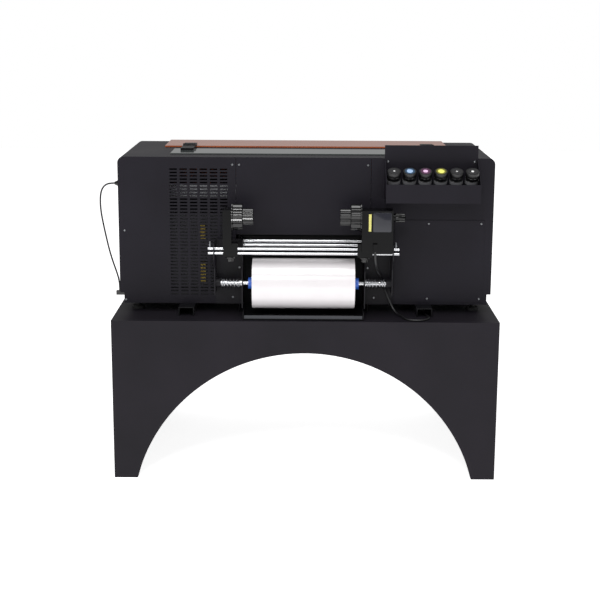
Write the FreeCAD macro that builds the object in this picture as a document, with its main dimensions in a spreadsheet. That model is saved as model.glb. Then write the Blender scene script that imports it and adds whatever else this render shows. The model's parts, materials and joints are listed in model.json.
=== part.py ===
"""Roll-fed UV film printer on an arched stand, as a parametric assembly.

Frame: +X along the carriage travel, +Y towards the operator, +Z up.  The origin is on the
floor under the middle of the stand.  Millimetres.  Each piece is one labelled object, and
each is written to parts/<label>.step.
"""
import FreeCAD, Part
import math
import os
import Sketcher

doc = FreeCAD.newDocument("uv_printer")
sheet = doc.addObject("Spreadsheet::Sheet", "Sizes")

SIZES = (
    # stand: powder-coated sheet, an arch cut in front and rear panels
    ("stand_width", 1130), ("stand_depth", 720), ("stand_height", 480), ("stand_sheet", 3),
    ("arch_radius", 512), ("arch_drop", 127), ("arch_lip", 24),
    # feet between stand and machine
    ("ride_height", 27), ("rail_offset", 351), ("rail_width", 46), ("rail_wall", 3),
    ("rail_overhang", 54), ("foot_offset_x", 505), ("foot_rear_inset", 56), ("foot_front_inset", 65),
    ("foot_pad_radius", 19), ("foot_stem_radius", 6), ("foot_pad_height", 9),
    # machine casing
    ("body_width", 1080), ("body_rear", 240), ("body_front", 345), ("body_height", 436.5),
    ("casing_sheet", 2), ("tray_sheet", 2.5), ("tray_rim", 38), ("slope_run", 115), ("slope_drop", 183.5),
    ("cover_side", 12), ("cover_wrap", 8), ("cover_round", 18), ("cover_rim", 8), ("cover_skin", 3),
    ("cover_rise", 31), ("seam_gap", 1),
    # rear panels
    ("seam_left", 206), ("seam_right", 191), ("vent_columns", 6), ("vent_rows", 39),
    ("vent_pitch_x", 29.5), ("vent_pitch_z", 9.8), ("vent_width", 22), ("vent_slot", 4.4),
    ("vent_left", 400), ("vent_base", 26), ("service_left", 262), ("service_right", 527),
    ("service_screw_pitch", 155),
    ("service_base", 8), ("service_top", 254), ("service_frame", 26), ("screw_head_radius", 3.6),
    ("screw_head_height", 2), ("screw_edge", 10),
    # top: window, lid and hinges
    ("window_half", 404), ("window_rear", 165), ("window_front", 27), ("window_sheet", 3),
    ("window_lap", 9), ("lid_half", 441), ("lid_sheet", 4), ("lid_rear", 40), ("lid_lap", 16),
    ("lid_slope_share", 0.78), ("lid_gap", 0.5), ("hinge_left", 361.5), ("hinge_right", 376),
    ("hinge_width", 39), ("hinge_leaf", 7), ("hinge_axis_y", 8), ("hinge_axis_rise", 9),
    ("knuckle_radius", 6), ("hinge_pin_radius", 2.5), ("hinge_base_length", 92),
    ("hinge_lid_length", 58), ("knuckle_gap", 0.5), ("running_clearance", 0.05),
    # feed recess and the frames that carry roll, rods and spindles
    ("feed_shift", 6), ("recess_half", 192), ("recess_top", 209), ("recess_depth", 104),
    ("shroud_sheet", 2), ("shroud_floor", 2), ("cradle_reach", 105), ("cradle_wall", 20),
    ("cradle_half", 176), ("film_slot_half", 170), ("film_slot", 18), ("film_slot_drop", 14),
    ("cheek_half", 178), ("frame_sheet", 3), ("cheek_reach", 65), ("cheek_upper_reach", 40),
    ("cheek_knee", 110),
    ("cheek_inset", 40), ("frame_screw_lower", 210), ("frame_screw_upper", 190),
    ("frame_top", 195), ("end_half", 258), ("end_reach", 98), ("end_base", 39), ("end_step", 150),
    ("rod_radius", 4.2), ("rod_forward", 82), ("rod_lower", 166.6), ("rod_pitch", 13.6),
    ("rod_overrun", 16), ("tie_forward", 98), ("tie_side", 10), ("tie_half", 172),
    # roll, cones, spindles and springs
    ("roll_radius", 74), ("roll_half", 150), ("core_radius", 17), ("core_bore", 13),
    ("core_overhang", 1.5), ("roll_forward", 38), ("roll_rise", 70), ("cone_radius", 17),
    ("cone_shoulder", 10.5), ("cone_nose", 13.5), ("cone_tip_radius", 10), ("end_gap", 0.3),
    ("shaft_radius", 7.5), ("shaft_engagement", 7), ("seat_radius", 13), ("seat_thickness", 3),
    ("collar_length", 15), ("collar_radius", 14.5), ("spring_radius", 15.2), ("spring_wire", 1.5),
    ("spring_turns", 7), ("spring_gap", 0.4),
    # guide rollers in the recess
    ("guide_forward", 10), ("guide_radius", 5), ("guide_journal", 3), ("guide_lower", 175.4),
    ("guide_pitch", 12.9),
    # take-up brackets with stepped chucks
    ("chuck_rise", 273), ("chuck_forward", 75), ("chuck_flange", 41), ("chuck_large", 38),
    ("chuck_small", 24.5), ("chuck_hub", 15), ("chuck_step", 31), ("chuck_fin", 5),
    ("chuck_fins", 6), ("chuck_gap", 0.5), ("stub_radius", 6), ("stub_length", 20),
    ("bracket_front", 105), ("bracket_back", 46),
    ("bracket_top", 296), ("bracket_base", 173), ("left_box_inner", 208), ("left_box_width", 25),
    ("right_box_inner", 167), ("right_box_width", 90), ("bracket_foot_drop", 14),
    ("left_foot_width", 42), ("right_foot_width", 44), ("foot_block_depth", 30),
    ("boss_radius", 11.5), ("boss_length", 18), ("tension_radius", 14), ("tension_length", 18),
    ("tension_lobes", 5), ("clamp_radius", 15.5), ("clamp_grip", 7), ("clamp_hub_radius", 10),
    ("clamp_hub_drop", 9), ("clamp_lobes", 6), ("stem_radius", 3.5), ("clamp_clear", 0.7),
    ("tension_stem", 12), ("thumb_radius", 4), ("thumb_height", 17),
    # ink rack on the rear panel
    ("rack_left", 229), ("rack_width", 272), ("rack_reach", 95), ("rack_base", 317),
    ("rack_front", 54), ("rack_back", 157), ("rack_sheet", 2), ("rack_lean", 28),
    ("bottle_count", 6), ("bottle_pitch", 45), ("bottle_first", 24), ("bottle_radius", 19.5),
    ("bottle_body", 48), ("bottle_shoulder", 9), ("neck_radius", 13), ("neck_ring_radius", 16),
    ("neck_ring", 3), ("neck_length", 13), ("cap_radius", 19.4), ("cap_height", 14),
    ("thread_clearance", 0.4), ("bottle_stand", 24), ("bottle_reach", 30),
    # inside the casing
    ("plate_sheet", 5), ("gantry_half", 520), ("beam_rear", 60), ("beam_depth", 40),
    ("beam_base", 293), ("beam_height", 40), ("rail_section", 12), ("rail_rise", 14),
    ("gantry_plate_rear", 110), ("gantry_plate_front", 60), ("gantry_plate_top", 353),
    ("platen_half", 207), ("platen_rear", 100), ("platen_front", 170), ("platen_top", 201),
    ("platen_sheet", 8), ("feed_roller_radius", 12.5), ("feed_journal", 4), ("feed_roller_y", 118),
    ("nip_gap", 0.4), ("pinch_radius", 8), ("pinch_shaft", 3), ("pinch_length", 34),
    ("pinch_count", 4), ("pinch_ear", 22), ("motor_side", 42), ("motor_length", 44),
    ("carriage_park", 350), ("carriage_width", 120), ("carriage_depth", 78), ("carriage_base", 228),
    ("carriage_height", 135), ("slider_width", 60), ("slider_wall", 10), ("slider_gap", 0.3),
    ("head_drop", 13), ("head_width", 34), ("head_pitch", 40), ("lamp_width", 30),
    ("head_fly", 3.5), ("pulley_half", 470), ("belt_radius", 9), ("belt_thickness", 1.5),
    ("belt_width", 6), ("belt_rise", 7), ("clamp_width", 20), ("station_top", 203),
    ("supply_left", 430), ("supply_width", 200), ("supply_rear", 212), ("supply_depth", 90),
    ("supply_top", 262), ("terminal_left", 316), ("terminal_width", 18),
    ("board_left", 232), ("board_width", 256), ("board_base", 60), ("board_height", 160),
    ("board_rear", 216),
    # operator side
    ("exit_slot", 22), ("exit_base", 182), ("button_x", 470), ("button_rise", 190),
    ("button_radius", 9), ("button_length", 9),
    # cables
    ("side_cable_radius", 2.5), ("motor_cable_radius", 3.2), ("gland_y", 205), ("gland_rise", 354),
    ("gland_radius", 8), ("gland_length", 14), ("plug_rise", 24), ("plug_length", 28),
    ("plug_height", 12), ("plug_depth", 16), ("inlet_radius", 6), ("inlet_length", 14),
    ("lead_inset", 39), ("boot_half", 6), ("boot_depth", 12), ("boot_lift", 6), ("boot_height", 22),
)


class Size:
    """A number together with the sheet expression that gives it."""

    def __init__(self, number, text):
        self.number = number
        self.text = text

    def join(self, other, sign, number, swapped=False):
        """A new size from this one and another, with the arithmetic written out."""
        left, right = (size_text(other), self.text) if swapped else (self.text, size_text(other))
        return Size(number, f"({left} {sign} {right})")

    def __add__(self, other):
        return self.join(other, "+", self.number + number_of(other))

    def __radd__(self, other):
        return self.join(other, "+", number_of(other) + self.number, True)

    def __sub__(self, other):
        return self.join(other, "-", self.number - number_of(other))

    def __rsub__(self, other):
        return self.join(other, "-", number_of(other) - self.number, True)

    def __mul__(self, other):
        return self.join(other, "*", self.number * number_of(other))

    def __rmul__(self, other):
        return self.join(other, "*", number_of(other) * self.number, True)

    def __truediv__(self, other):
        return self.join(other, "/", self.number / number_of(other))

    def __neg__(self):
        return Size(-self.number, f"(0 - {self.text})")


def number_of(value):
    """The plain number of a size or a number."""
    return value.number if isinstance(value, Size) else value


def size_text(value):
    """The expression of a size or a number."""
    return value.text if isinstance(value, Size) else repr(value)


class Sizes:
    """The sheet's aliases as attributes, each a Size."""


size = Sizes()
for row, (alias, number) in enumerate(SIZES, start=1):
    sheet.set(f"A{row}", alias)
    sheet.set(f"B{row}", str(number))
    sheet.setAlias(f"B{row}", alias)
    setattr(size, alias, Size(float(number), f"Sizes.{alias}"))
doc.recompute()

pieces = []


def label_piece(thing, label):
    """Names a finished piece and puts it on the list that is written out."""
    thing.Label = label
    pieces.append(thing)
    return thing


def new(kind, name):
    """Adds an object to the document."""
    return doc.addObject(kind, name)


def bind(thing, **values):
    """Binds properties to sizes; a plain number is set as it is."""
    for name, value in values.items():
        if isinstance(value, Size):
            thing.setExpression(name, value.text)
        else:
            setattr(thing, name, value)


def place(thing, x=0, y=0, z=0, axis=None, angle=0):
    """Puts an object at a bound position, turned about an axis by an angle in degrees."""
    if axis is not None:
        turned = FreeCAD.Rotation(FreeCAD.Vector(*axis), number_of(angle))
        thing.Placement = FreeCAD.Placement(FreeCAD.Vector(), turned)
    for letter, value in zip("xyz", (x, y, z)):
        thing.setExpression(f"Placement.Base.{letter}", size_text(value))
    return thing


def box(x, y, z):
    """A block between the low and high planes of x, y and z."""
    block = new("Part::Box", "Block")
    bind(block, Length=x[1] - x[0], Width=y[1] - y[0], Height=z[1] - z[0])
    return place(block, x[0], y[0], z[0])


DIRECTIONS = {"x": ((0, 1, 0), 90), "y": ((1, 0, 0), -90), "z": (None, 0)}


def cylinder(radius, start, length, direction="z"):
    """A round bar from a start point along +x, +y or +z."""
    bar = new("Part::Cylinder", "Bar")
    bind(bar, Radius=radius, Height=length)
    axis, angle = DIRECTIONS[direction]
    return place(bar, *start, axis=axis, angle=angle)


def cone(radius_start, radius_end, start, length, direction="z"):
    """A truncated cone from a start point along +x, +y or +z."""
    body = new("Part::Cone", "Taper")
    bind(body, Radius1=radius_start, Radius2=radius_end, Height=length)
    axis, angle = DIRECTIONS[direction]
    return place(body, *start, axis=axis, angle=angle)


def fuse(*things):
    """Several overlapping or touching shapes made one."""
    joined = new("Part::MultiFuse", "Joined")
    joined.Shapes = list(things)
    joined.Refine = True
    return joined


def group(*things):
    """Separate solids kept together as one piece."""
    together = new("Part::Compound", "Group")
    together.Links = list(things)
    return together


def cut(base, *tools):
    """A shape with others taken away."""
    trimmed = new("Part::Cut", "Trimmed")
    trimmed.Base = base
    trimmed.Tool = tools[0] if len(tools) == 1 else group(*tools)
    return trimmed


def common(first, second):
    """What two shapes share."""
    shared = new("Part::Common", "Shared")
    shared.Base = first
    shared.Tool = second
    return shared


def origin_plane(body, role):
    """One of a body's own origin planes."""
    return next(item for item in body.Origin.OriginFeatures if item.Role == role)


def outline(body, role, points):
    """A closed sketch through bound points on one of the body's planes."""
    sketch = body.newObject("Sketcher::SketchObject", "Outline")
    sketch.AttachmentSupport = (origin_plane(body, role), [""])
    sketch.MapMode = "FlatFace"
    corners = [FreeCAD.Vector(number_of(a), number_of(b), 0) for a, b in points]
    for index, corner in enumerate(corners):
        sketch.addGeometry(Part.LineSegment(corner, corners[(index + 1) % len(corners)]), False)
    for index, (a, b) in enumerate(points):
        sketch.addConstraint(Sketcher.Constraint("Coincident", index - 1 if index else len(points) - 1,
                                                 2, index, 1))
        for kind, axis, value in (("DistanceX", -2, a), ("DistanceY", -1, b)):
            if number_of(value) == 0:
                sketch.addConstraint(Sketcher.Constraint("PointOnObject", index, 1, axis))
                continue
            at = sketch.addConstraint(Sketcher.Constraint(kind, -1, 1, index, 1, number_of(value)))
            sketch.setExpression(f"Constraints[{at}]", size_text(value))
    return sketch


def padded(role, points, length, offset=0):
    """A body made by padding an outline, with its sketch plane moved by an offset."""
    body = new("PartDesign::Body", "PaddedBody")
    sketch = outline(body, role, points)
    pad = body.newObject("PartDesign::Pad", "Pad")
    pad.Profile = sketch
    bind(pad, Length=length)
    letter = {"XY_Plane": "z", "XZ_Plane": "y", "YZ_Plane": "x"}[role]
    place(body, **{letter: offset})
    return body


def turned(points, start=(0, 0, 0), direction="x"):
    """A body turned about an axis: points are (distance along the axis, radius)."""
    body = new("PartDesign::Body", "TurnedBody")
    sketch = outline(body, "XZ_Plane", points)
    spin = body.newObject("PartDesign::Revolution", "Revolution")
    spin.Profile = sketch
    spin.ReferenceAxis = (sketch, ["H_Axis"])
    spin.Angle = 360
    axis, angle = {"x": ((0, 0, 1), 0), "y": ((0, 0, 1), 90), "z": ((0, 1, 0), -90)}[direction]
    return place(body, *start, axis=axis, angle=angle)


# ---------------------------------------------------------------- shared levels
stand_x = size.stand_width / 2
stand_y = size.stand_depth / 2
deck = size.stand_height
base = size.stand_height + size.ride_height
roof = base + size.body_height
body_x = size.body_width / 2
outer_x = body_x + size.cover_side
rear = -size.body_rear
rear_inner = rear + size.casing_sheet
front = size.body_front
front_inner = front - size.casing_sheet
slope_y = size.body_front - size.slope_run
slope_z = roof - size.slope_drop
skin_x = body_x - size.cover_wrap
floor = base + size.tray_sheet
feed = -size.feed_shift

# ---------------------------------------------------------------- stand
top_underside = deck - size.stand_sheet
label_piece(box((-stand_x, stand_x), (-stand_y, stand_y), (top_underside, deck)), "stand_top")


def arch_panel(outer_y, inner_y, lip_y):
    """One arched panel: a flat sheet, and a lip folded along the arch."""
    low_y, high_y = (outer_y, inner_y) if outer_y.number < inner_y.number else (inner_y, outer_y)
    lip_low, lip_high = (inner_y, lip_y) if inner_y.number < lip_y.number else (lip_y, inner_y)
    whole_low = low_y if low_y.number < lip_low.number else lip_low
    depth = size.stand_sheet + size.arch_lip
    sheet_part = box((-stand_x, stand_x), (low_y, high_y), (0, top_underside))
    lip_disc = cylinder(size.arch_radius + size.stand_sheet, (0, lip_low, -size.arch_drop),
                        size.arch_lip, "y")
    above_floor = box((-stand_x, stand_x), (lip_low, lip_high), (0, top_underside))
    bore = cylinder(size.arch_radius, (0, whole_low, -size.arch_drop), depth, "y")
    return cut(fuse(sheet_part, common(lip_disc, above_floor)), bore)


label_piece(group(
    arch_panel(-stand_y, -stand_y + size.stand_sheet, -stand_y + size.stand_sheet + size.arch_lip),
    arch_panel(stand_y, stand_y - size.stand_sheet, stand_y - size.stand_sheet - size.arch_lip),
), "stand_arch_panels")
end_y = stand_y - size.stand_sheet
label_piece(group(*(
    box((side, side + size.stand_sheet), (-end_y, end_y), (0, top_underside))
    for side in (-stand_x, stand_x - size.stand_sheet)
)), "stand_end_panels")

# ---------------------------------------------------------------- feet under the machine
rail_start = rear - size.rail_overhang
rail_end = front - size.foot_front_inset / 2
rails = []
for centre in (-size.rail_offset, size.rail_offset):
    half = size.rail_width / 2
    shell = box((centre - half, centre + half), (rail_start, rail_end), (deck, base))
    hollow = box((centre - half + size.rail_wall, centre + half - size.rail_wall),
                 (rail_start - size.rail_wall, rail_end + size.rail_wall),
                 (deck - size.rail_wall, base - size.rail_wall))
    rails.append(cut(shell, hollow))
label_piece(group(*rails), "foot_rails")

feet = []
for x in (-size.foot_offset_x, size.foot_offset_x):
    for y in (rear + size.foot_rear_inset, front - size.foot_front_inset):
        feet.append(turned((
            (0, 0), (0, size.foot_pad_radius), (size.foot_pad_height, size.foot_pad_radius),
            (size.foot_pad_height, size.foot_stem_radius), (size.ride_height, size.foot_stem_radius),
            (size.ride_height, 0),
        ), (x, y, deck), "z"))
label_piece(group(*feet), "levelling_feet")

# ---------------------------------------------------------------- base tray
recess_left = feed - size.recess_half
recess_right = feed + size.recess_half
recess_back = rear_inner + size.recess_depth
shroud_gap = size.seam_gap
tray_rim_top = base + size.tray_rim
tray_shell = box((-body_x, body_x), (rear_inner, front_inner), (base, tray_rim_top))
tray_hollow = box((-body_x + size.tray_sheet, body_x - size.tray_sheet),
                  (rear_inner + size.tray_sheet, front_inner - size.tray_sheet),
                  (floor, tray_rim_top + size.tray_sheet))
tray_notch = box((recess_left - shroud_gap, recess_right + shroud_gap),
                 (rear_inner - shroud_gap, recess_back + shroud_gap),
                 (base - shroud_gap, tray_rim_top + shroud_gap))
label_piece(cut(tray_shell, tray_hollow, tray_notch), "base_tray")

# ---------------------------------------------------------------- rear panels
panel_top = roof - size.casing_sheet
vent_x = -size.vent_left
vent_z = base + size.vent_base
vent_span_x = size.vent_pitch_x * (size.vent_columns - 1) + size.vent_width
vent_span_z = size.vent_pitch_z * (size.vent_rows - 1) + size.vent_slot
through = (rear - size.casing_sheet, rear_inner + size.casing_sheet)
columns = group(*(
    box((vent_x + size.vent_pitch_x * i, vent_x + size.vent_pitch_x * i + size.vent_width),
        through, (vent_z, vent_z + vent_span_z))
    for i in range(int(size.vent_columns.number))
))
rows = group(*(
    box((vent_x, vent_x + vent_span_x), through,
        (vent_z + size.vent_pitch_z * i, vent_z + size.vent_pitch_z * i + size.vent_slot))
    for i in range(int(size.vent_rows.number))
))
left_sheet = box((-body_x, -size.seam_left), (rear, rear_inner), (base, panel_top))
label_piece(cut(left_sheet, common(columns, rows)), "rear_panel_left")

recess_ceiling = base + size.recess_top
label_piece(box((-size.seam_left + size.seam_gap, size.seam_right - size.seam_gap),
                (rear, rear_inner), (recess_ceiling, panel_top)), "rear_panel_centre")

service_left = size.service_left
service_right = size.service_right
service_low = base + size.service_base
service_high = base + size.service_top
right_sheet = box((size.seam_right, body_x), (rear, rear_inner), (base, panel_top))
access_hole = box((service_left + size.service_frame, service_right - size.service_frame), through,
                  (service_low + size.service_frame, service_high - size.service_frame))
label_piece(cut(right_sheet, access_hole), "rear_panel_right")
service_face = rear - size.casing_sheet
label_piece(box((service_left, service_right), (service_face, rear), (service_low, service_high)),
            "service_panel")

# ---------------------------------------------------------------- side covers
cover_low = base + size.cover_rise
cover_width = size.cover_side + size.cover_wrap
rim = size.cover_rim


def side_cover(outward):
    """A moulded side cover with rounded top edges; outward is +1 right, -1 left."""
    body = new("PartDesign::Body", "CoverBody")
    sketch = outline(body, "YZ_Plane", (
        (rear, cover_low), (rear, roof), (slope_y, roof), (front, slope_z), (front, cover_low)))
    pad = body.newObject("PartDesign::Pad", "Pad")
    pad.Profile = sketch
    bind(pad, Length=cover_width)
    start = skin_x if outward > 0 else -outer_x
    place(body, x=start)
    doc.recompute()
    far = cover_width.number if outward > 0 else 0.0
    names = []
    for index, edge in enumerate(pad.Shape.Edges, start=1):
        middle = edge.CenterOfMass
        along_outer_face = abs(middle.x - far) < 1e-6
        upper = middle.z > slope_z.number - 1e-6 and middle.y > rear.number + 1e-6
        if along_outer_face and upper:
            names.append(f"Edge{index}")
    rounding = body.newObject("PartDesign::Fillet", "RoundedEdges")
    rounding.Base = (pad, names)
    bind(rounding, Radius=size.cover_round)
    inside = padded("YZ_Plane", (
        (rear + rim, cover_low - rim), (rear + rim, roof - rim), (slope_y - rim, roof - rim),
        (front - rim, slope_z - rim), (front - rim, cover_low - rim)),
        cover_width - size.cover_skin, skin_x if outward > 0 else -outer_x + size.cover_skin)
    inner_x = (skin_x, body_x) if outward > 0 else (-body_x, -skin_x)
    panel_room = box(inner_x, (rear, rear + rim * 2), (cover_low - rim, panel_top))
    front_room = box(inner_x, (front - size.tray_sheet - rim * 2, front_inner),
                     (cover_low - rim, tray_rim_top))
    return cut(body, inside, panel_room, front_room)


label_piece(group(side_cover(-1), side_cover(1)), "side_covers")

# ---------------------------------------------------------------- top cover and window
lid_opening_x = size.lid_half - size.lid_lap
lid_opening_rear = size.lid_rear + size.lid_lap
top_sheet = box((-skin_x, skin_x), (rear, slope_y), (panel_top, roof))
window_hole = box((-size.window_half + size.window_lap, size.window_half - size.window_lap),
                  (-size.window_rear + size.window_lap, -size.window_front - size.window_lap),
                  (panel_top - size.casing_sheet, roof + size.casing_sheet))
lid_hole = box((-lid_opening_x, lid_opening_x), (lid_opening_rear, slope_y + size.casing_sheet),
               (panel_top - size.casing_sheet, roof + size.casing_sheet))
label_piece(cut(top_sheet, window_hole, lid_hole), "top_cover")
window_top = roof + size.window_sheet
label_piece(box((-size.window_half, size.window_half), (-size.window_rear, -size.window_front),
                (roof, window_top)), "top_window")

# ---------------------------------------------------------------- front panel
thin = size.casing_sheet
lid_end_y = slope_y + size.slope_run * size.lid_slope_share
lid_end_z = roof - size.slope_drop * size.lid_slope_share
front_shell = padded("YZ_Plane", (
    (front_inner, base), (front, base), (front, slope_z), (slope_y, roof),
    (slope_y, roof - thin - thin), (front_inner, slope_z - thin)), skin_x * 2, -skin_x)
front_opening = box((-lid_opening_x, lid_opening_x), (slope_y - thin, front + thin),
                    (lid_end_z + size.lid_lap, roof + thin))
exit_z = base + size.exit_base
exit_hole = box((feed - size.film_slot_half, feed + size.film_slot_half),
                (front_inner - thin, front + thin), (exit_z, exit_z + size.exit_slot))
button_z = base + size.button_rise
button_bore = cylinder(size.button_radius + size.end_gap, (size.button_x, front_inner - thin, button_z),
                       thin * 3, "y")
label_piece(cut(front_shell, front_opening, exit_hole, button_bore), "front_panel")

# ---------------------------------------------------------------- feed recess shroud and cradle
wall = size.shroud_sheet
shroud_floor = deck + size.shroud_floor
shroud_deck = shroud_floor + wall
cradle_front = rear - size.cradle_reach
slot_z = base + size.platen_top - size.film_slot_drop
shroud_shell = box((recess_left, recess_right), (rear_inner, recess_back), (shroud_floor, recess_ceiling))
shroud_hollow = box((recess_left + wall, recess_right - wall), (rear_inner - wall, recess_back - wall),
                    (shroud_deck, recess_ceiling - wall))
slot_hole = box((feed - size.film_slot_half, feed + size.film_slot_half),
                (recess_back - wall - wall, recess_back + wall), (slot_z, slot_z + size.film_slot))
cradle_half = size.cradle_half
cradle_plate = box((feed - cradle_half, feed + cradle_half), (cradle_front, rear_inner + wall),
                   (shroud_floor, shroud_deck))
cradle_sides = [
    box((side, side + wall), (cradle_front, rear_inner + wall),
        (shroud_floor, shroud_deck + size.cradle_wall))
    for side in (feed - cradle_half, feed + cradle_half - wall)
]
label_piece(fuse(cut(shroud_shell, shroud_hollow, slot_hole), cradle_plate, *cradle_sides), "feed_shroud")

# ---------------------------------------------------------------- roll frames
roll_y = rear - size.roll_forward
roll_z = base + size.roll_rise
rod_y = rear - size.rod_forward
rod_z = base + size.rod_lower
guide_y = rear + size.guide_forward
guide_z = base + size.guide_lower
frame_high = base + size.frame_top
plate = size.frame_sheet
play = size.running_clearance
flange_face = rear - plate
end_low = base + size.end_base
end_knee = base + size.end_step
guide_heights = [guide_z, guide_z + size.guide_pitch]


def sided(outward, inner, outer):
    """A low and high x on one side of the feed, from distances off its centre line."""
    return (feed + inner, feed + outer) if outward > 0 else (feed - outer, feed - inner)


def roll_frame(outward):
    """A folded U: inner cheek, back flange on the rear panel, and the end plate."""
    cheek_x = sided(outward, size.cheek_half, size.cheek_half + plate)
    end_x = sided(outward, size.end_half, size.end_half + plate)
    flange_x = sided(outward, size.cheek_half, size.end_half + plate)
    cheek_knee = base + size.cheek_knee
    cheek_step = size.cheek_reach - size.cheek_upper_reach
    cheek = padded("YZ_Plane", (
        (rear + size.cheek_inset, base), (rear + size.cheek_inset, frame_high),
        (rear - size.cheek_upper_reach, frame_high),
        (rear - size.cheek_upper_reach, cheek_knee + cheek_step),
        (rear - size.cheek_reach, cheek_knee), (rear - size.cheek_reach, base)), plate, cheek_x[0])
    flange = box(flange_x, (flange_face, rear), (base, frame_high))
    end_plate = padded("YZ_Plane", (
        (flange_face, end_low), (flange_face, frame_high), (rear - size.end_reach, frame_high),
        (rear - size.end_reach, end_knee), (rear - size.cheek_reach, end_knee - size.end_reach / 3),
        (rear - size.cheek_reach, end_low)), plate, end_x[0])
    reach_x = sided(outward, size.cheek_half - plate, size.end_half + plate * 2)
    reach = reach_x[1] - reach_x[0]
    shaft_bore = cylinder(size.shaft_radius + play, (reach_x[0], roll_y, roll_z), reach, "x")
    guide_bores = [
        cylinder(size.guide_journal + play, (cheek_x[0] - plate, guide_y, bore_z), plate * 3, "x")
        for bore_z in guide_heights
    ]
    rod_bores = [
        cylinder(size.rod_radius + play, (end_x[0] - plate, rod_y, rod_z + size.rod_pitch * i),
                 plate * 3, "x")
        for i in range(2)
    ]
    frame = cut(fuse(cheek, flange, end_plate), shaft_bore, *guide_bores, *rod_bores)
    collar_x = sided(outward, size.end_half - size.collar_length, size.end_half)
    collar = cut(cylinder(size.collar_radius, (collar_x[0], roll_y, roll_z), size.collar_length, "x"),
                 cylinder(size.shaft_radius + play, (collar_x[0] - plate, roll_y, roll_z),
                          size.collar_length + plate * 2, "x"))
    return frame, collar


frames = [part for outward in (-1, 1) for part in roll_frame(outward)]
label_piece(group(*frames), "roll_frames")

# ---------------------------------------------------------------- rods and their fasteners
rod_start = feed - size.end_half - plate - size.rod_overrun
rod_length = (size.end_half + plate + size.rod_overrun) * 2
rods = [
    cylinder(size.rod_radius, (rod_start, rod_y, rod_z + size.rod_pitch * i), rod_length, "x")
    for i in range(2)
]
tie_y = rear - size.tie_forward
tie_bar = box((feed - size.tie_half, feed + size.tie_half),
              (tie_y - size.tie_side / 2, tie_y + size.tie_side / 2),
              (shroud_deck, shroud_deck + size.tie_side))
label_piece(group(*rods, tie_bar), "rods_and_tie_bar")

rear_screws = [
    (-body_x + size.screw_edge / 2, base + size.screw_edge),
    (-body_x + size.screw_edge / 2, roof / 2 + base / 2),
    (-size.seam_left - size.screw_edge, panel_top - size.screw_edge * 2),
    (-size.seam_left + size.screw_edge, panel_top - size.screw_edge * 2),
    (size.seam_right - size.screw_edge, panel_top - size.screw_edge * 2),
]
service_screws = [
    (x, z)
    for x in (service_right - size.screw_edge - size.service_screw_pitch, service_right - size.screw_edge)
    for z in (service_low + size.screw_edge, service_high - size.screw_edge)
]
rack_left = size.rack_left
rack_right = size.rack_left + size.rack_width
rack_face = rear - size.rack_sheet
rack_base = base + size.rack_base
rack_screws = [
    (x, roof - size.screw_edge)
    for x in (rack_left + size.screw_edge, rack_right - size.screw_edge)
]
frame_screws = [
    (feed + side * offset, base + height)
    for side in (-1, 1)
    for offset, height in ((size.frame_screw_lower, size.screw_edge * 2),
                           (size.frame_screw_upper, size.cheek_knee))
]
SCREW_CROWN = 0.6


def screws(places, face):
    """Low round heads standing on a rear face, one at each (x, z)."""
    return [
        turned(((0, 0), (0, size.screw_head_radius * SCREW_CROWN),
                (size.screw_head_height, size.screw_head_radius), (size.screw_head_height, 0)),
               (x, face - size.screw_head_height, z), "y")
        for x, z in places
    ]


panel_screws = [
    *screws(rear_screws, rear), *screws(service_screws, service_face),
    *screws(rack_screws, rack_face), *screws(frame_screws, flange_face),
]
thumb_neck = size.thumb_radius * 0.6
thumb_waist = size.thumb_radius * 0.7
thumb_screws = [
    turned(((0, 0), (0, thumb_neck), (size.thumb_height / 3, thumb_neck),
            (size.thumb_height / 3, size.thumb_radius), (size.thumb_height / 2, size.thumb_radius),
            (size.thumb_height / 2, thumb_waist), (size.thumb_height, size.thumb_radius / 2),
            (size.thumb_height, 0)),
           (end_plate_x - size.thumb_radius / 2, rod_y, rod_z + size.rod_pitch + size.rod_radius), "z")
    for end_plate_x in (feed - size.end_half - plate - size.rod_overrun / 2,
                        feed + size.end_half + plate + size.rod_overrun / 2)
]
label_piece(group(*panel_screws, *thumb_screws), "fasteners")

# ---------------------------------------------------------------- film roll and its core
core_half = size.roll_half + size.core_overhang
for name, half, outer, inner in (("media_roll", size.roll_half, size.roll_radius, size.core_radius),
                                 ("roll_core", core_half, size.core_radius, size.core_bore)):
    label_piece(cut(cylinder(outer, (feed - half, roll_y, roll_z), half * 2, "x"),
                    cylinder(inner, (feed - half * 2, roll_y, roll_z), half * 4, "x")), name)

# ---------------------------------------------------------------- cones, spindles and springs
gap = size.end_gap
cone_face = core_half + gap
cone_back = cone_face + size.cone_shoulder
seat_inner = size.cheek_half + plate + gap
seat_outer = seat_inner + size.seat_thickness
spring_inner = seat_outer + size.spring_gap
spring_outer = size.end_half - size.collar_length - size.spring_gap
shaft_tip = cone_face - size.shaft_engagement
shaft_end = size.end_half + plate


def facing(points, outward):
    """Profile points given as distance from the feed centre, for the side they belong to."""
    return [(value if outward > 0 else -value, radius) for value, radius in points]


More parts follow.
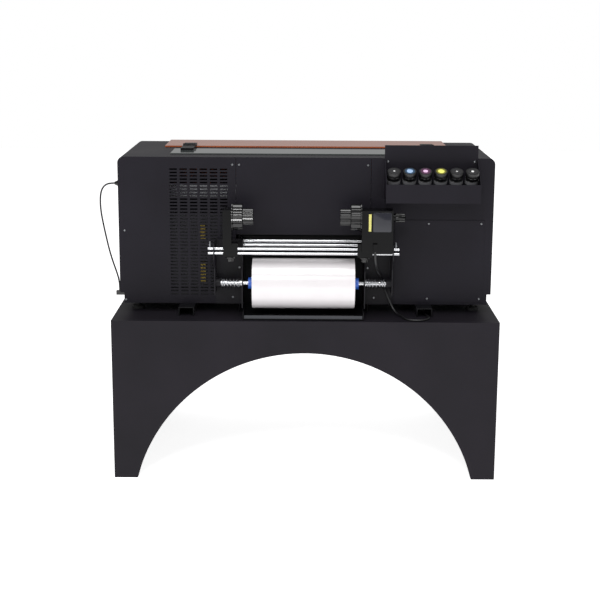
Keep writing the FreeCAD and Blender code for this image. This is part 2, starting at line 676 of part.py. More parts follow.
for outward, side_name in ((-1, "left"), (1, "right")):
    nose_radius = size.core_bore - gap
    label_piece(turned(facing((
        (cone_back, size.shaft_radius + play), (cone_back, size.cone_radius), (cone_face, size.cone_radius),
        (cone_face, nose_radius), (cone_face - size.cone_nose, size.cone_tip_radius),
        (cone_face - size.cone_nose, 0), (shaft_tip - gap, 0), (shaft_tip - gap, size.shaft_radius + play),
    ), outward), (feed, roll_y, roll_z), "x"), f"cone_{side_name}")
    label_piece(turned(facing((
        (shaft_tip, 0), (shaft_tip, size.shaft_radius), (seat_inner, size.shaft_radius),
        (seat_inner, size.seat_radius), (seat_outer, size.seat_radius), (seat_outer, size.shaft_radius),
        (shaft_end, size.shaft_radius), (shaft_end, 0),
    ), outward), (feed, roll_y, roll_z), "x"), f"spindle_{side_name}")
    coil = new("Part::Helix", "Coil")
    wire_length = spring_outer - spring_inner - size.spring_wire * 2
    bind(coil, Radius=size.spring_radius, Height=wire_length, Pitch=wire_length / size.spring_turns)
    ring = new("Part::Circle", "WireSection")
    bind(ring, Radius=size.spring_wire)
    place(ring, x=size.spring_radius, axis=(1, 0, 0), angle=90)
    swept = new("Part::Sweep", "SpringWire")
    swept.Sections = [ring]
    swept.Spine = (coil, ["Edge1"])
    swept.Solid = True
    swept.Frenet = True
    start = spring_inner + size.spring_wire if outward > 0 else -(spring_outer - size.spring_wire)
    spring = group(swept)
    place(spring, feed + start, roll_y, roll_z, axis=(0, 1, 0), angle=90)
    label_piece(spring, f"spring_{side_name}")

# ---------------------------------------------------------------- guide rollers
roller_face = size.cheek_half - gap
journal_end = size.cheek_half + plate
for name, height in zip(("guide_roller_lower", "guide_roller_upper"), guide_heights):
    label_piece(turned((
        (-journal_end, 0), (-journal_end, size.guide_journal), (-roller_face, size.guide_journal),
        (-roller_face, size.guide_radius), (roller_face, size.guide_radius),
        (roller_face, size.guide_journal), (journal_end, size.guide_journal), (journal_end, 0),
    ), (feed, guide_y, height), "x"), name)

# ---------------------------------------------------------------- take-up brackets, chucks and knobs
chuck_y = rear - size.chuck_forward
chuck_z = base + size.chuck_rise
bracket_y = (rear - size.bracket_front, rear - size.bracket_back)
bracket_low = base + size.bracket_base
bracket_high = base + size.bracket_top
foot_y = (rod_y - size.foot_block_depth / 2, rod_y + size.foot_block_depth / 2)
foot_low = bracket_low - size.bracket_foot_drop
stem_length = rod_z - size.rod_radius - size.clamp_clear - (foot_low - gap)
SCOOP_REACH = 1.25
SCOOP_RADIUS = 0.42


def lobed_knob(radius, lobes, start, length, direction):
    """A round grip with scoops cut round its rim."""
    blank = cylinder(radius, start, length, direction)
    scoops = []
    for i in range(int(lobes.number)):
        turn = i * 2 * math.pi / lobes.number
        across, along = math.cos(turn), math.sin(turn)
        reach = radius * SCOOP_REACH
        x, y, z = start
        shift = {"x": (x, y + reach * across, z + reach * along),
                 "z": (x + reach * across, y + reach * along, z)}[direction]
        scoops.append(cylinder(radius * SCOOP_RADIUS, shift, length, direction))
    return cut(blank, *scoops)


def chuck(outward, inner_face):
    """A stepped core holder: hub, back flange and stepped fins, turned about x."""
    hub_length = size.chuck_step * 2
    start = inner_face - hub_length if outward > 0 else inner_face
    flange_x = inner_face - size.frame_sheet if outward > 0 else inner_face
    hub = cylinder(size.chuck_hub, (start, chuck_y, chuck_z), hub_length, "x")
    flange = cylinder(size.chuck_flange, (flange_x, chuck_y, chuck_z), size.frame_sheet, "x")
    large_x = inner_face - size.chuck_step if outward > 0 else inner_face
    fins = []
    for i in range(int(size.chuck_fins.number)):
        for radius, from_x, length in ((size.chuck_large, large_x, size.chuck_step),
                                       (size.chuck_small, start, hub_length)):
            blade = box((0, length), (-size.chuck_fin / 2, size.chuck_fin / 2), (0, radius))
            turned_blade = group(blade)
            place(turned_blade, from_x, chuck_y, chuck_z, axis=(1, 0, 0),
                  angle=i * 360 / size.chuck_fins.number)
            fins.append(turned_blade)
    bore_x = inner_face - size.stub_length if outward > 0 else inner_face - size.chuck_gap
    bore = cylinder(size.stub_radius + play, (bore_x, chuck_y, chuck_z),
                    size.stub_length + size.chuck_gap, "x")
    return cut(fuse(hub, flange, *fins), bore)


def bracket(outward, inner, width, foot_width):
    """A take-up bracket: housing with a foot that clamps on the two rods."""
    housing_x = sided(outward, inner, inner + width)
    foot_inner = inner + width - foot_width if outward < 0 else inner - size.boss_radius
    foot_x = sided(outward, foot_inner, foot_inner + foot_width)
    low = bracket_low if outward > 0 else rod_z + size.rod_pitch + size.rod_radius * 3
    housing = box(housing_x, bracket_y, (low, bracket_high))
    foot = box(foot_x, foot_y, (foot_low, bracket_low + size.rod_radius * 6))
    span = sided(outward, inner - width, inner + width * 2)
    bores = [
        cylinder(size.rod_radius + play, (span[0], rod_y, rod_z + size.rod_pitch * i),
                 span[1] - span[0], "x")
        for i in range(2)
    ]
    stub_reach = size.stub_length
    stub_x = housing_x[0] - stub_reach + gap if outward > 0 else housing_x[1]
    stub = cylinder(size.stub_radius, (stub_x, chuck_y, chuck_z), stub_reach - gap, "x")
    foot_middle = (foot_x[0] + foot_x[1]) / 2
    bores.append(cylinder(size.stem_radius + play, (foot_middle, rod_y, foot_low - gap),
                          stem_length + gap, "z"))
    if outward < 0:
        return cut(fuse(housing, foot, stub), *bores), foot_x
    boss = cylinder(size.boss_radius, (housing_x[1], chuck_y, chuck_z), size.boss_length, "x")
    lead_x = housing_x[0] + size.lead_inset
    boot = box((lead_x - size.boot_half, lead_x + size.boot_half),
               (bracket_y[0] - size.boot_depth, bracket_y[0]),
               (bracket_low + size.boot_lift, bracket_low + size.boot_lift + size.boot_height))
    stem_x = housing_x[1] + size.boss_length - size.tension_stem
    bores.append(cylinder(size.stem_radius + play, (stem_x, chuck_y, chuck_z),
                          size.tension_stem + gap, "x"))
    return cut(fuse(housing, foot, boss, boot, stub), *bores), foot_x


for outward, side_name, inner, width, foot_width in (
        (-1, "left", size.left_box_inner, size.left_box_width, size.left_foot_width),
        (1, "right", size.right_box_inner, size.right_box_width, size.right_foot_width)):
    body, foot_x = bracket(outward, inner, width, foot_width)
    label_piece(body, f"bracket_{side_name}")
    chuck_face = feed + (inner - size.chuck_gap) if outward > 0 else feed - (inner - size.chuck_gap)
    label_piece(chuck(outward, chuck_face), f"chuck_{side_name}")
    knob_x = (foot_x[0] + foot_x[1]) / 2
    grip_z = foot_low - gap - size.clamp_grip
    label_piece(fuse(
        lobed_knob(size.clamp_radius, size.clamp_lobes, (knob_x, rod_y, grip_z), size.clamp_grip, "z"),
        cylinder(size.clamp_hub_radius, (knob_x, rod_y, grip_z - size.clamp_hub_drop),
                 size.clamp_hub_drop, "z"),
        cylinder(size.stem_radius, (knob_x, rod_y, grip_z + size.clamp_grip), stem_length, "z"),
    ), f"clamp_knob_{side_name}")
tension_x = feed + size.right_box_inner + size.right_box_width + size.boss_length + gap
label_piece(fuse(
    lobed_knob(size.tension_radius, size.tension_lobes, (tension_x, chuck_y, chuck_z),
               size.tension_length, "x"),
    cylinder(size.stem_radius, (tension_x - size.tension_stem, chuck_y, chuck_z), size.tension_stem, "x"),
), "tension_knob")

# ---------------------------------------------------------------- ink rack, bottles and caps
rack_reach_y = rear - size.rack_reach
rack_wall = size.rack_sheet
lean = size.rack_lean
stand_point_y = rear - size.bottle_reach
stand_point_z = rack_base + size.bottle_stand
rack_plate = box((rack_left, rack_right), (rack_face, rear), (rack_base, rack_base + size.rack_back))
rack_floor = box((rack_left, rack_right), (rack_reach_y, rear), (rack_base, rack_base + rack_wall))
rack_lip = box((rack_left, rack_right), (rack_reach_y, rack_reach_y + rack_wall),
               (rack_base, rack_base + size.rack_front))
rack_ends = [
    padded("YZ_Plane", ((rack_reach_y, rack_base), (rear, rack_base), (rear, roof),
                        (rack_reach_y, rack_base + size.rack_front)), rack_wall, x)
    for x in (rack_left, rack_right - rack_wall)
]
shelf_half = size.bottle_radius + rack_wall
shelf_blank = box((0, size.rack_width - rack_wall), (-shelf_half, shelf_half), (-rack_wall, 0))
shelf = group(shelf_blank)
place(shelf, rack_left + rack_wall / 2, stand_point_y, stand_point_z, axis=(1, 0, 0), angle=lean.number)
shelf.setExpression("Placement.Rotation.Angle", lean.text)
label_piece(fuse(rack_plate, rack_floor, rack_lip, *rack_ends, shelf), "ink_rack")


def leaning(body, index):
    """Stands a turned piece on the shelf, leaning out with the rack."""
    place(body, rack_left + size.bottle_first + size.bottle_pitch * index, stand_point_y, stand_point_z,
          axis=(1, 0, 0), angle=lean.number)
    body.setExpression("Placement.Rotation.Angle", lean.text)
    return body


def turned_up(points):
    """A body turned about its own z axis: points are (height, radius)."""
    body = new("PartDesign::Body", "TurnedBody")
    sketch = outline(body, "XZ_Plane", [(radius, height) for height, radius in points])
    spin = body.newObject("PartDesign::Revolution", "Revolution")
    spin.Profile = sketch
    spin.ReferenceAxis = (sketch, ["V_Axis"])
    spin.Angle = 360
    return body


shoulder_z = size.bottle_body + size.bottle_shoulder
ring_z = shoulder_z + size.neck_ring
neck_z = shoulder_z + size.neck_length
cap_low = ring_z + gap
bottles = [
    leaning(turned_up(((0, 0), (0, size.bottle_radius), (size.bottle_body, size.bottle_radius),
                       (shoulder_z, size.neck_radius), (shoulder_z, size.neck_ring_radius),
                       (ring_z, size.neck_ring_radius), (ring_z, size.neck_radius),
                       (neck_z, size.neck_radius), (neck_z, 0))), index)
    for index in range(int(size.bottle_count.number))
]
label_piece(group(*bottles), "ink_bottles")
bore_radius = size.neck_radius + size.thread_clearance
cap_roof = neck_z + gap
for index in range(int(size.bottle_count.number)):
    label_piece(leaning(turned_up((
        (cap_low, bore_radius), (cap_low, size.cap_radius), (cap_low + size.cap_height, size.cap_radius),
        (cap_low + size.cap_height, 0), (cap_roof, 0), (cap_roof, bore_radius))), index),
        f"ink_cap_{index + 1}")

# ---------------------------------------------------------------- lid and hinges
axis_y = size.hinge_axis_y
axis_z = roof + size.hinge_axis_rise
lid_low = roof + size.lid_gap
lid_high = lid_low + size.lid_sheet
corner_out = size.lid_sheet * 0.6
slope_shift = size.lid_gap
label_piece(padded("YZ_Plane", (
    (size.lid_rear, lid_low), (size.lid_rear, lid_high), (slope_y + corner_out, lid_high),
    (lid_end_y + size.lid_sheet * 0.85, lid_end_z + size.lid_sheet * 0.53),
    (lid_end_y + slope_shift, lid_end_z + slope_shift), (slope_y + slope_shift, lid_low)),
    size.lid_half * 2, -size.lid_half), "lid_panel")
base_leaves = []
lid_leaves = []
third = size.hinge_width / 3
pin_play = size.hinge_pin_radius + play
for centre in (-size.hinge_left, size.hinge_right):
    left = centre - size.hinge_width / 2
    right = centre + size.hinge_width / 2
    base_block = box((left, right),
                     (axis_y - size.hinge_base_length, axis_y - size.knuckle_radius - size.knuckle_gap),
                     (window_top, window_top + size.hinge_leaf))
    ears = []
    for low_x, high_x in ((left, left + third - size.knuckle_gap), (right - third + size.knuckle_gap, right)):
        ears.append(cylinder(size.knuckle_radius, (low_x, axis_y, axis_z), high_x - low_x, "x"))
        ears.append(box((low_x, high_x), (axis_y - size.knuckle_radius - size.hinge_leaf, axis_y),
                        (window_top, window_top + size.hinge_leaf)))
    base_leaves.append(fuse(base_block, *ears,
                            cylinder(size.hinge_pin_radius, (left, axis_y, axis_z), size.hinge_width, "x")))
    lid_block = box((left, right),
                    (axis_y + size.knuckle_radius + size.knuckle_gap * 2, axis_y + size.hinge_lid_length),
                    (lid_high, lid_high + size.hinge_leaf))
    tongue = box((left + third, right - third), (axis_y, axis_y + size.knuckle_radius + size.hinge_leaf),
                 (lid_high, lid_high + size.hinge_leaf))
    knuckle = cylinder(size.knuckle_radius, (left + third, axis_y, axis_z), third, "x")
    lid_leaves.append(cut(fuse(lid_block, tongue, knuckle),
                          cylinder(pin_play, (left, axis_y, axis_z), size.hinge_width, "x")))
label_piece(group(*base_leaves), "hinge_base_leaves")
label_piece(group(*lid_leaves), "hinge_lid_leaves")

# ---------------------------------------------------------------- side frames, beam and rail
beam_z = (base + size.beam_base, base + size.beam_base + size.beam_height)
beam_y = (-size.beam_rear, -size.beam_rear + size.beam_depth)
gantry_plates = [
    box((x, x + size.plate_sheet), (-size.gantry_plate_rear, size.gantry_plate_front),
        (floor, base + size.gantry_plate_top))
    for x in (-size.gantry_half - size.plate_sheet, size.gantry_half)
]
platen_x = (feed - size.platen_half, feed + size.platen_half)
platen_high = base + size.platen_top
platen_low = platen_high - size.platen_sheet
feed_y = -size.feed_roller_y
feed_z = platen_high - size.feed_roller_radius
pinch_z = platen_high + size.nip_gap + size.pinch_radius
ear_rear = feed_y - size.pinch_ear
ear_front = -size.platen_rear - size.seam_gap
platen_plates = []
for x in (platen_x[0], platen_x[1] - size.plate_sheet):
    blank = padded("YZ_Plane", (
        (ear_rear, floor), (ear_rear, pinch_z + size.pinch_radius * 2),
        (ear_front, pinch_z + size.pinch_radius * 2), (ear_front, platen_low),
        (size.platen_front, platen_low),
        (size.platen_front, floor)), size.plate_sheet, x)
    platen_plates.append(cut(
        blank,
        cylinder(size.feed_journal + play, (x - size.plate_sheet, feed_y, feed_z),
                 size.plate_sheet * 3, "x"),
        cylinder(size.pinch_shaft + play, (x - size.plate_sheet, feed_y, pinch_z),
                 size.plate_sheet * 3, "x")))
label_piece(group(*gantry_plates, *platen_plates), "side_frames")

rail_z = beam_z[0] + size.rail_rise
rail_front = beam_y[1] + size.rail_section
label_piece(fuse(box((-size.gantry_half, size.gantry_half), beam_y, beam_z),
                 box((-size.gantry_half, size.gantry_half), (beam_y[1], rail_front),
                     (rail_z, rail_z + size.rail_section))), "gantry_beam")
label_piece(box(platen_x, (-size.platen_rear, size.platen_front), (platen_low, platen_high)), "platen")

# ---------------------------------------------------------------- feed and pinch rollers
journal_half = size.platen_half
barrel_half = size.platen_half - size.plate_sheet - gap
label_piece(turned((
    (-journal_half, 0), (-journal_half, size.feed_journal), (-barrel_half, size.feed_journal),
    (-barrel_half, size.feed_roller_radius), (barrel_half, size.feed_roller_radius),
    (barrel_half, size.feed_journal), (journal_half + size.motor_length / 2, size.feed_journal),
    (journal_half + size.motor_length / 2, 0),
), (feed, feed_y, feed_z), "x"), "feed_roller")
pinch_bar = cylinder(size.pinch_shaft, (feed - journal_half, feed_y, pinch_z), journal_half * 2, "x")
pinch_step = barrel_half * 2 / size.pinch_count
pinch_tyres = [
    cylinder(size.pinch_radius, (feed - barrel_half + pinch_step * i + (pinch_step - size.pinch_length) / 2,
                                 feed_y, pinch_z), size.pinch_length, "x")
    for i in range(int(size.pinch_count.number))
]
label_piece(fuse(pinch_bar, *pinch_tyres), "pinch_rollers")

# ---------------------------------------------------------------- carriage drive: motors and belt
motor_half = size.motor_side / 2
feed_motor = cut(
    box((platen_x[1], platen_x[1] + size.motor_length), (feed_y - motor_half, feed_y + motor_half),
        (feed_z - motor_half, feed_z + motor_half)),
    cylinder(size.feed_journal + play, (platen_x[1] - gap, feed_y, feed_z),
             size.motor_length / 2 + gap * 2, "x"))
belt_y = beam_y[0] + size.beam_depth * 0.6
belt_z = beam_z[1] + size.belt_rise + size.belt_radius + size.belt_thickness
scan_motor = box((-size.pulley_half - motor_half, -size.pulley_half + motor_half),
                 (beam_y[0] - size.motor_length, beam_y[0]), (belt_z - motor_half, belt_z + motor_half))
scan_shaft = cylinder(size.feed_journal, (-size.pulley_half, beam_y[0], belt_z), belt_y - beam_y[0], "y")


def loop_solid(radius, start_y, width):
    """A stadium: two round ends joined by a straight block."""
    ends = [cylinder(radius, (x, start_y, belt_z), width, "y") for x in (-size.pulley_half, size.pulley_half)]
    return fuse(box((-size.pulley_half, size.pulley_half), (start_y, start_y + width),
                    (belt_z - radius, belt_z + radius)), *ends)


belt = cut(loop_solid(size.belt_radius + size.belt_thickness, belt_y, size.belt_width),
           loop_solid(size.belt_radius, belt_y - size.belt_width, size.belt_width * 3))
pulleys = [
    cylinder(size.belt_radius, (x, belt_y, belt_z), size.belt_width, "y")
    for x in (-size.pulley_half, size.pulley_half)
]
idler_post = box((size.pulley_half - size.feed_journal, size.pulley_half + size.feed_journal),
                 (belt_y + size.belt_width, beam_y[1]), (beam_z[1], belt_z + size.feed_journal))
label_piece(group(feed_motor, fuse(scan_motor, scan_shaft), belt, *pulleys, idler_post), "carriage_drive")

# ---------------------------------------------------------------- carriage and its heads
park = size.carriage_park
carriage_x = (park - size.carriage_width / 2, park + size.carriage_width / 2)
carriage_rear = rail_front + size.slider_wall / 2
carriage_y = (carriage_rear, carriage_rear + size.carriage_depth)
carriage_z = (base + size.carriage_base, base + size.carriage_base + size.carriage_height)
slider = cut(
    box((park - size.slider_width / 2, park + size.slider_width / 2),
        (beam_y[1] + size.slider_gap * 4, carriage_rear),
        (rail_z - size.slider_wall, rail_z + size.rail_section + size.slider_wall)),
    box((park - size.slider_width, park + size.slider_width),
        (beam_y[1] - size.slider_gap, rail_front + size.slider_gap),
        (rail_z - size.slider_gap, rail_z + size.rail_section + size.slider_gap)))
run_z = belt_z - size.belt_radius - size.belt_thickness
belt_clamp = cut(
    box((park - size.clamp_width / 2, park + size.clamp_width / 2),
        (belt_y - size.belt_width / 2, carriage_rear),
        (run_z - size.belt_rise / 2, run_z + size.belt_thickness + size.belt_rise / 2)),
    box((park - size.clamp_width, park + size.clamp_width),
        (belt_y - size.slider_gap, belt_y + size.belt_width + size.slider_gap),
        (run_z - size.slider_gap, run_z + size.belt_thickness + size.slider_gap)))
label_piece(fuse(box(carriage_x, carriage_y, carriage_z), slider, belt_clamp), "carriage")
head_z = platen_high + size.head_fly
heads = [
    box((park + size.head_pitch * i - size.head_width / 2, park + size.head_pitch * i + size.head_width / 2),
        (carriage_y[0] + size.head_drop, carriage_y[1] - size.head_drop), (head_z, carriage_z[0]))
    for i in (-1, 0, 1)
]
lamps = [
    box((x, x + size.lamp_width), (carriage_y[0] + size.head_drop / 2, carriage_y[1]),
        (head_z + size.head_fly, carriage_z[0] + size.carriage_height * 0.5))
    for x in (carriage_x[0] - size.lamp_width, carriage_x[1])
]
label_piece(group(*heads, *lamps), "print_heads")

# ---------------------------------------------------------------- capping station, supply and board
station_top = base + size.station_top
label_piece(fuse(
    box(carriage_x, carriage_y, (station_top - size.motor_side, station_top)),
    *(box((x, x + size.plate_sheet), (carriage_y[0], carriage_y[1]), (floor, station_top - size.motor_side))
      for x in (carriage_x[0], carriage_x[1] - size.plate_sheet))), "cap_station")
supply_y = (-size.supply_rear, -size.supply_rear + size.supply_depth)
supply = box((-size.supply_left, -size.supply_left + size.supply_width), supply_y,
             (floor, base + size.supply_top))
terminals = [
    box((-size.terminal_left, -size.terminal_left + size.terminal_width),
        (supply_y[0] - size.screw_edge, supply_y[0]), (base + low, base + high))
    for low, high in (
        (size.board_base, size.board_base * 2),
        (size.supply_top - size.board_base - size.plate_sheet * 2, size.supply_top - size.plate_sheet * 6))
]
board_z = base + size.board_base
board_plate = box((size.board_left, size.board_left + size.board_width),
                  (-size.board_rear, -size.board_rear + size.casing_sheet),
                  (board_z, board_z + size.board_height))
chip_corners = [
    (size.board_left + size.board_width * share, board_z + size.board_height * level)
    for share, level in ((0.1, 0.15), (0.4, 0.55), (0.7, 0.2))
]
chips = [
    box((x, x + size.head_width), (-size.board_rear - size.screw_edge / 2, -size.board_rear),
        (z, z + size.head_width))
    for x, z in chip_corners
]
board_legs = [
    box((x, x + size.screw_edge),
        (-size.board_rear + size.casing_sheet, -size.board_rear + size.casing_sheet * 2),
        (floor, board_z + size.board_height))
    for x in (size.board_left + size.screw_edge, size.board_left + size.board_width - size.screw_edge * 2)
]
label_piece(group(supply, *terminals, fuse(board_plate, *chips, *board_legs)), "electronics")

# ---------------------------------------------------------------- power button
label_piece(turned(((0, 0), (0, size.button_radius), (size.button_length, size.button_radius),
                    (size.button_length, 0)), (size.button_x, front_inner, button_z), "y"), "power_button")

# ---------------------------------------------------------------- cables and their fittings
gland_z = base + size.gland_rise
plug_z = base + size.plug_rise
plug_y = (-size.gland_y - size.plug_depth / 2, -size.gland_y + size.plug_depth / 2)
gland_tip = size.gland_radius * 0.55
gland_throat = size.gland_radius * 0.9
side_gland = fuse(
    cylinder(size.gland_radius, (-outer_x - size.gland_length / 2, -size.gland_y, gland_z),
             size.gland_length / 2, "x"),
    cone(gland_tip, gland_throat, (-outer_x - size.gland_length, -size.gland_y, gland_z),
         size.gland_length / 2, "x"))
side_plug = box((-body_x - size.plug_length, -body_x), plug_y,
                (plug_z - size.plug_height / 2, plug_z + size.plug_height / 2))

# routes, chosen by hand: side lead, counted from the side cover's face at gland depth on the base,
# from its gland down to the socket; motor lead, counted from the feed centre on the deck, from the
# right bracket, behind the spring, along the deck and into the foot rail
SIDE_ROUTE = (
    (-14, 0, 354), (-31, 0, 354), (-46.5, 0, 345.5), (-55.5, -0.5, 328), (-58, -1, 299), (-56, -1, 266),
    (-50, -1.5, 231), (-43, -1.5, 195), (-35, -1, 156), (-25, -0.5, 119), (-13.5, 0, 85), (-6, 0, 55),
    (-6, 0, 30),
)
MOTOR_ROUTE = (
    (206, -111, 206), (206, -111, 184), (211, -97, 158), (218, -66, 137), (226, -35, 123),
    (234, -14, 102), (242, -10, 76), (251, -11, 50), (261, -16, 28), (271, -26, 12), (283, -42, 4),
    (292, -62, 3.3), (295, -84, 3.3), (308.5, -102.5, 3.3), (331, -110, 3.3), (353.5, -102.5, 3.3),
    (367, -83.5, 3.3), (369, -59, 3.3), (363, -34, 3.3), (357, -10, 3.3), (357, 14, 3.3),
)
ARC_SHARE = 0.45


def arc_radius(trim, turn):
    """Radius of the arc that starts a trim away from a corner of a given turn."""
    return trim / math.tan(turn / 2)


def placed(route, *origin):
    """Route points in the frame, from points counted from an origin given as sizes."""
    return [tuple(number_of(start) + step for start, step in zip(origin, point)) for point in route]


def lead(route, radius, name):
    """A round cable: straight runs joined by tangent arcs as large as the runs allow."""
    corners = [FreeCAD.Vector(*point) for point in route]
    edges = []
    here = corners[0]
    radii = []
    for before, corner, after in zip(corners, corners[1:], corners[2:]):
        back, ahead = before - corner, after - corner
        shorter = min(back.Length, ahead.Length)
        turn = math.pi - back.getAngle(ahead)
        trim = ARC_SHARE * shorter
        bend = arc_radius(trim, turn)
        radii.append(round(bend, 1))
        back.normalize()
        ahead.normalize()
        start, end = corner + back * trim, corner + ahead * trim
        inward = (back + ahead).normalize()
        middle = corner + inward * (bend / math.cos(turn / 2) - bend)
        edges.append(Part.LineSegment(here, start).toShape())
        edges.append(Part.Arc(start, middle, end).toShape())
        here = end
    edges.append(Part.LineSegment(here, corners[-1]).toShape())
    path = Part.Wire(edges)
    section = Part.Wire(Part.makeCircle(radius.number, corners[0], corners[1] - corners[0]))
    solid = path.makePipeShell([section], True, True)
    piece = new("Part::Feature", "Lead")
    piece.Shape = solid
    piece.Placement = FreeCAD.Placement()
    expected = math.pi * radius.number ** 2 * path.Length
    print(f"{name}: length {path.Length:.1f}, least radius {min(radii)}, radii {radii}, "
          f"volume over section times length {solid.Volume / expected:.4f}")
    return label_piece(piece, name)


lead(placed(SIDE_ROUTE, -outer_x, -size.gland_y, base), size.side_cable_radius, "side_cable")
motor_route = placed(MOTOR_ROUTE, feed, rear, deck)
lead(motor_route, size.motor_cable_radius, "motor_cable")
inlet_x, inlet_y = motor_route[-1][:2]
inlet = box((inlet_x - size.inlet_radius, inlet_x + size.inlet_radius),
            (inlet_y, inlet_y + size.inlet_length),
            (deck, deck + size.inlet_radius * 2))
label_piece(group(side_gland, side_plug, inlet), "cable_fittings")

# ---------------------------------------------------------------- check and write
doc.recompute()
for thing in doc.Objects:
    if "Invalid" in thing.State or "Error" in thing.State:
        raise RuntimeError(f"{thing.Name} ({thing.Label}) failed: {thing.State}")
os.makedirs("parts", exist_ok=True)
labels = [piece.Label for piece in pieces]
if len(set(labels)) != len(labels) or len(labels) > 60:
    raise RuntimeError("labels repeat or there are too many pieces")
for piece in pieces:
    shape = piece.Shape
    if shape.isNull() or not shape.isValid() or shape.Volume <= 0:
        raise RuntimeError(f"{piece.Label} has no sound shape")
    shape.exportStep(os.path.join("parts", f"{piece.Label}.step"))
print(len(pieces), "pieces written")
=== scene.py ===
import bmesh
import bpy
import json
import math
import numpy as np
from mathutils import Matrix, Vector


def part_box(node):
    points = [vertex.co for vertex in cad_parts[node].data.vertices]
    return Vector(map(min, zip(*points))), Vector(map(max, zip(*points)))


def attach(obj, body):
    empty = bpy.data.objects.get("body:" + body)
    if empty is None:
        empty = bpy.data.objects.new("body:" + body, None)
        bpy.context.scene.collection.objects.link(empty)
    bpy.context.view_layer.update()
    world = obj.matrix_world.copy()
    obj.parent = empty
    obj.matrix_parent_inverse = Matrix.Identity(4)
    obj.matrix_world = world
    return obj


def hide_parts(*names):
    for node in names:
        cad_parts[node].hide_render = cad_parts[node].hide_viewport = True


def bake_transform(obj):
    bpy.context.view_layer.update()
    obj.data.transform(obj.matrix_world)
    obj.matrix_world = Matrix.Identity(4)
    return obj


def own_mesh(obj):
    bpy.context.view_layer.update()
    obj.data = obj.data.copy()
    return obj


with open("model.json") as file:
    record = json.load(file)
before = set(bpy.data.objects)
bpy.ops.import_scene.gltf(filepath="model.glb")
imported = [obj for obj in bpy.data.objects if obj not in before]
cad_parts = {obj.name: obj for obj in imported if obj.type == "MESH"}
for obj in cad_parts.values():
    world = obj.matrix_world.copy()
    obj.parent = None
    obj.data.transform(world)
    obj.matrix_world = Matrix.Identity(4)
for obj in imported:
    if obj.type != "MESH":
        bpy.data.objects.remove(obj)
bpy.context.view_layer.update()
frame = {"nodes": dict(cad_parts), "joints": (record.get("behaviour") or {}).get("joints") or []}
nodes = frame["nodes"]
joints = {joint["name"]: joint for joint in frame["joints"]}

# ---------------------------------------------------------------- camera
# The camera stands four metres behind the machine and a little above it, and looks slightly
# down through a long lens. Its turns are small: pitch, yaw and roll.
CAMERA_PLACE = (-0.0048, -4.08265, 1.36378)
CAMERA_PITCH = math.radians(12.41)
CAMERA_YAW = -0.0029
CAMERA_ROLL = 0.0054
LENS_LENGTH = 79.09
SENSOR_WIDTH = 36

camera_data = bpy.data.cameras.new("camera")
camera_data.lens = LENS_LENGTH
camera_data.sensor_width = SENSOR_WIDTH
camera = bpy.data.objects.new("camera", camera_data)
bpy.context.scene.collection.objects.link(camera)
look = Vector((math.sin(CAMERA_YAW) * math.cos(CAMERA_PITCH),
               math.cos(CAMERA_YAW) * math.cos(CAMERA_PITCH), -math.sin(CAMERA_PITCH)))
level = Vector((math.cos(CAMERA_YAW), -math.sin(CAMERA_YAW), 0))
upright = level.cross(look)
across = level * math.cos(CAMERA_ROLL) + upright * math.sin(CAMERA_ROLL)
above = upright * math.cos(CAMERA_ROLL) - level * math.sin(CAMERA_ROLL)
camera.matrix_world = (Matrix.Translation(CAMERA_PLACE)
                       @ Matrix((across, above, -look)).transposed().to_4x4())
bpy.context.scene.camera = camera

# ---------------------------------------------------------------- floor and soft light
# A plain painted floor that glows evenly, in a white studio. Two soft boxes stand on the
# camera's side and one hangs over the machine, with a narrow strip light for a long highlight.
MM = 0.001
FLOOR_HALF = 9.0
FLOOR_GLOW = 0.85
MOTTLES_PER_METRE = 3.0


def linear(code):
    """An sRGB hex colour turned to linear red, green, blue and alpha."""
    shares = np.array([int(code[i:i + 2], 16) for i in (1, 3, 5)]) / 255
    curve = np.where(shares <= 0.04045, shares / 12.92, ((shares + 0.055) / 1.055) ** 2.4)
    return (*curve.tolist(), 1.0)


def add(tree, kind, sockets=None, **settings):
    """Adds a shader node; a socket's value is a number, a colour or the output that feeds it."""
    made = tree.nodes.new(kind)
    for key, value in settings.items():
        setattr(made, key, value)
    for key, value in (sockets or {}).items():
        if isinstance(value, bpy.types.NodeSocket):
            tree.links.new(value, made.inputs[key])
        else:
            made.inputs[key].default_value = value
    return made


def substance(name, **sockets):
    """A new material with its shader, and the piece's own coordinates in metres."""
    material = bpy.data.materials.new(name)
    material.use_nodes = True
    tree = material.node_tree
    tree.nodes.clear()
    shader = add(tree, "ShaderNodeBsdfPrincipled",
                 {key.replace("_", " "): value for key, value in sockets.items()})
    add(tree, "ShaderNodeOutputMaterial", {"Surface": shader.outputs["BSDF"]})
    return material, tree, shader, add(tree, "ShaderNodeTexCoord").outputs["Object"]


floor_paint, tree, shader, here = substance("studio_floor_paint", Roughness=0.85,
                                            Emission_Color=(1, 1, 1, 1),
                                            Emission_Strength=FLOOR_GLOW)
mottle = add(tree, "ShaderNodeTexNoise",
             {"Vector": here, "Scale": MOTTLES_PER_METRE, "Detail": 2.0})
tone = add(tree, "ShaderNodeValToRGB", {"Fac": mottle.outputs["Fac"]})
tone.color_ramp.elements[0].color = linear("#f4f4f4")
tone.color_ramp.elements[1].color = linear("#fafafa")
tree.links.new(tone.outputs["Color"], shader.inputs["Base Color"])
floor_mesh = bpy.data.meshes.new("studio_floor")
floor_mesh.from_pydata([(-FLOOR_HALF, -FLOOR_HALF, 0), (FLOOR_HALF, -FLOOR_HALF, 0),
                        (FLOOR_HALF, FLOOR_HALF, 0), (-FLOOR_HALF, FLOOR_HALF, 0)],
                       [], [(0, 1, 2, 3)])
floor_mesh.materials.append(floor_paint)
studio_floor = bpy.data.objects.new("studio_floor", floor_mesh)
bpy.context.scene.collection.objects.link(studio_floor)

world = bpy.data.worlds.new("studio")
world.use_nodes = True
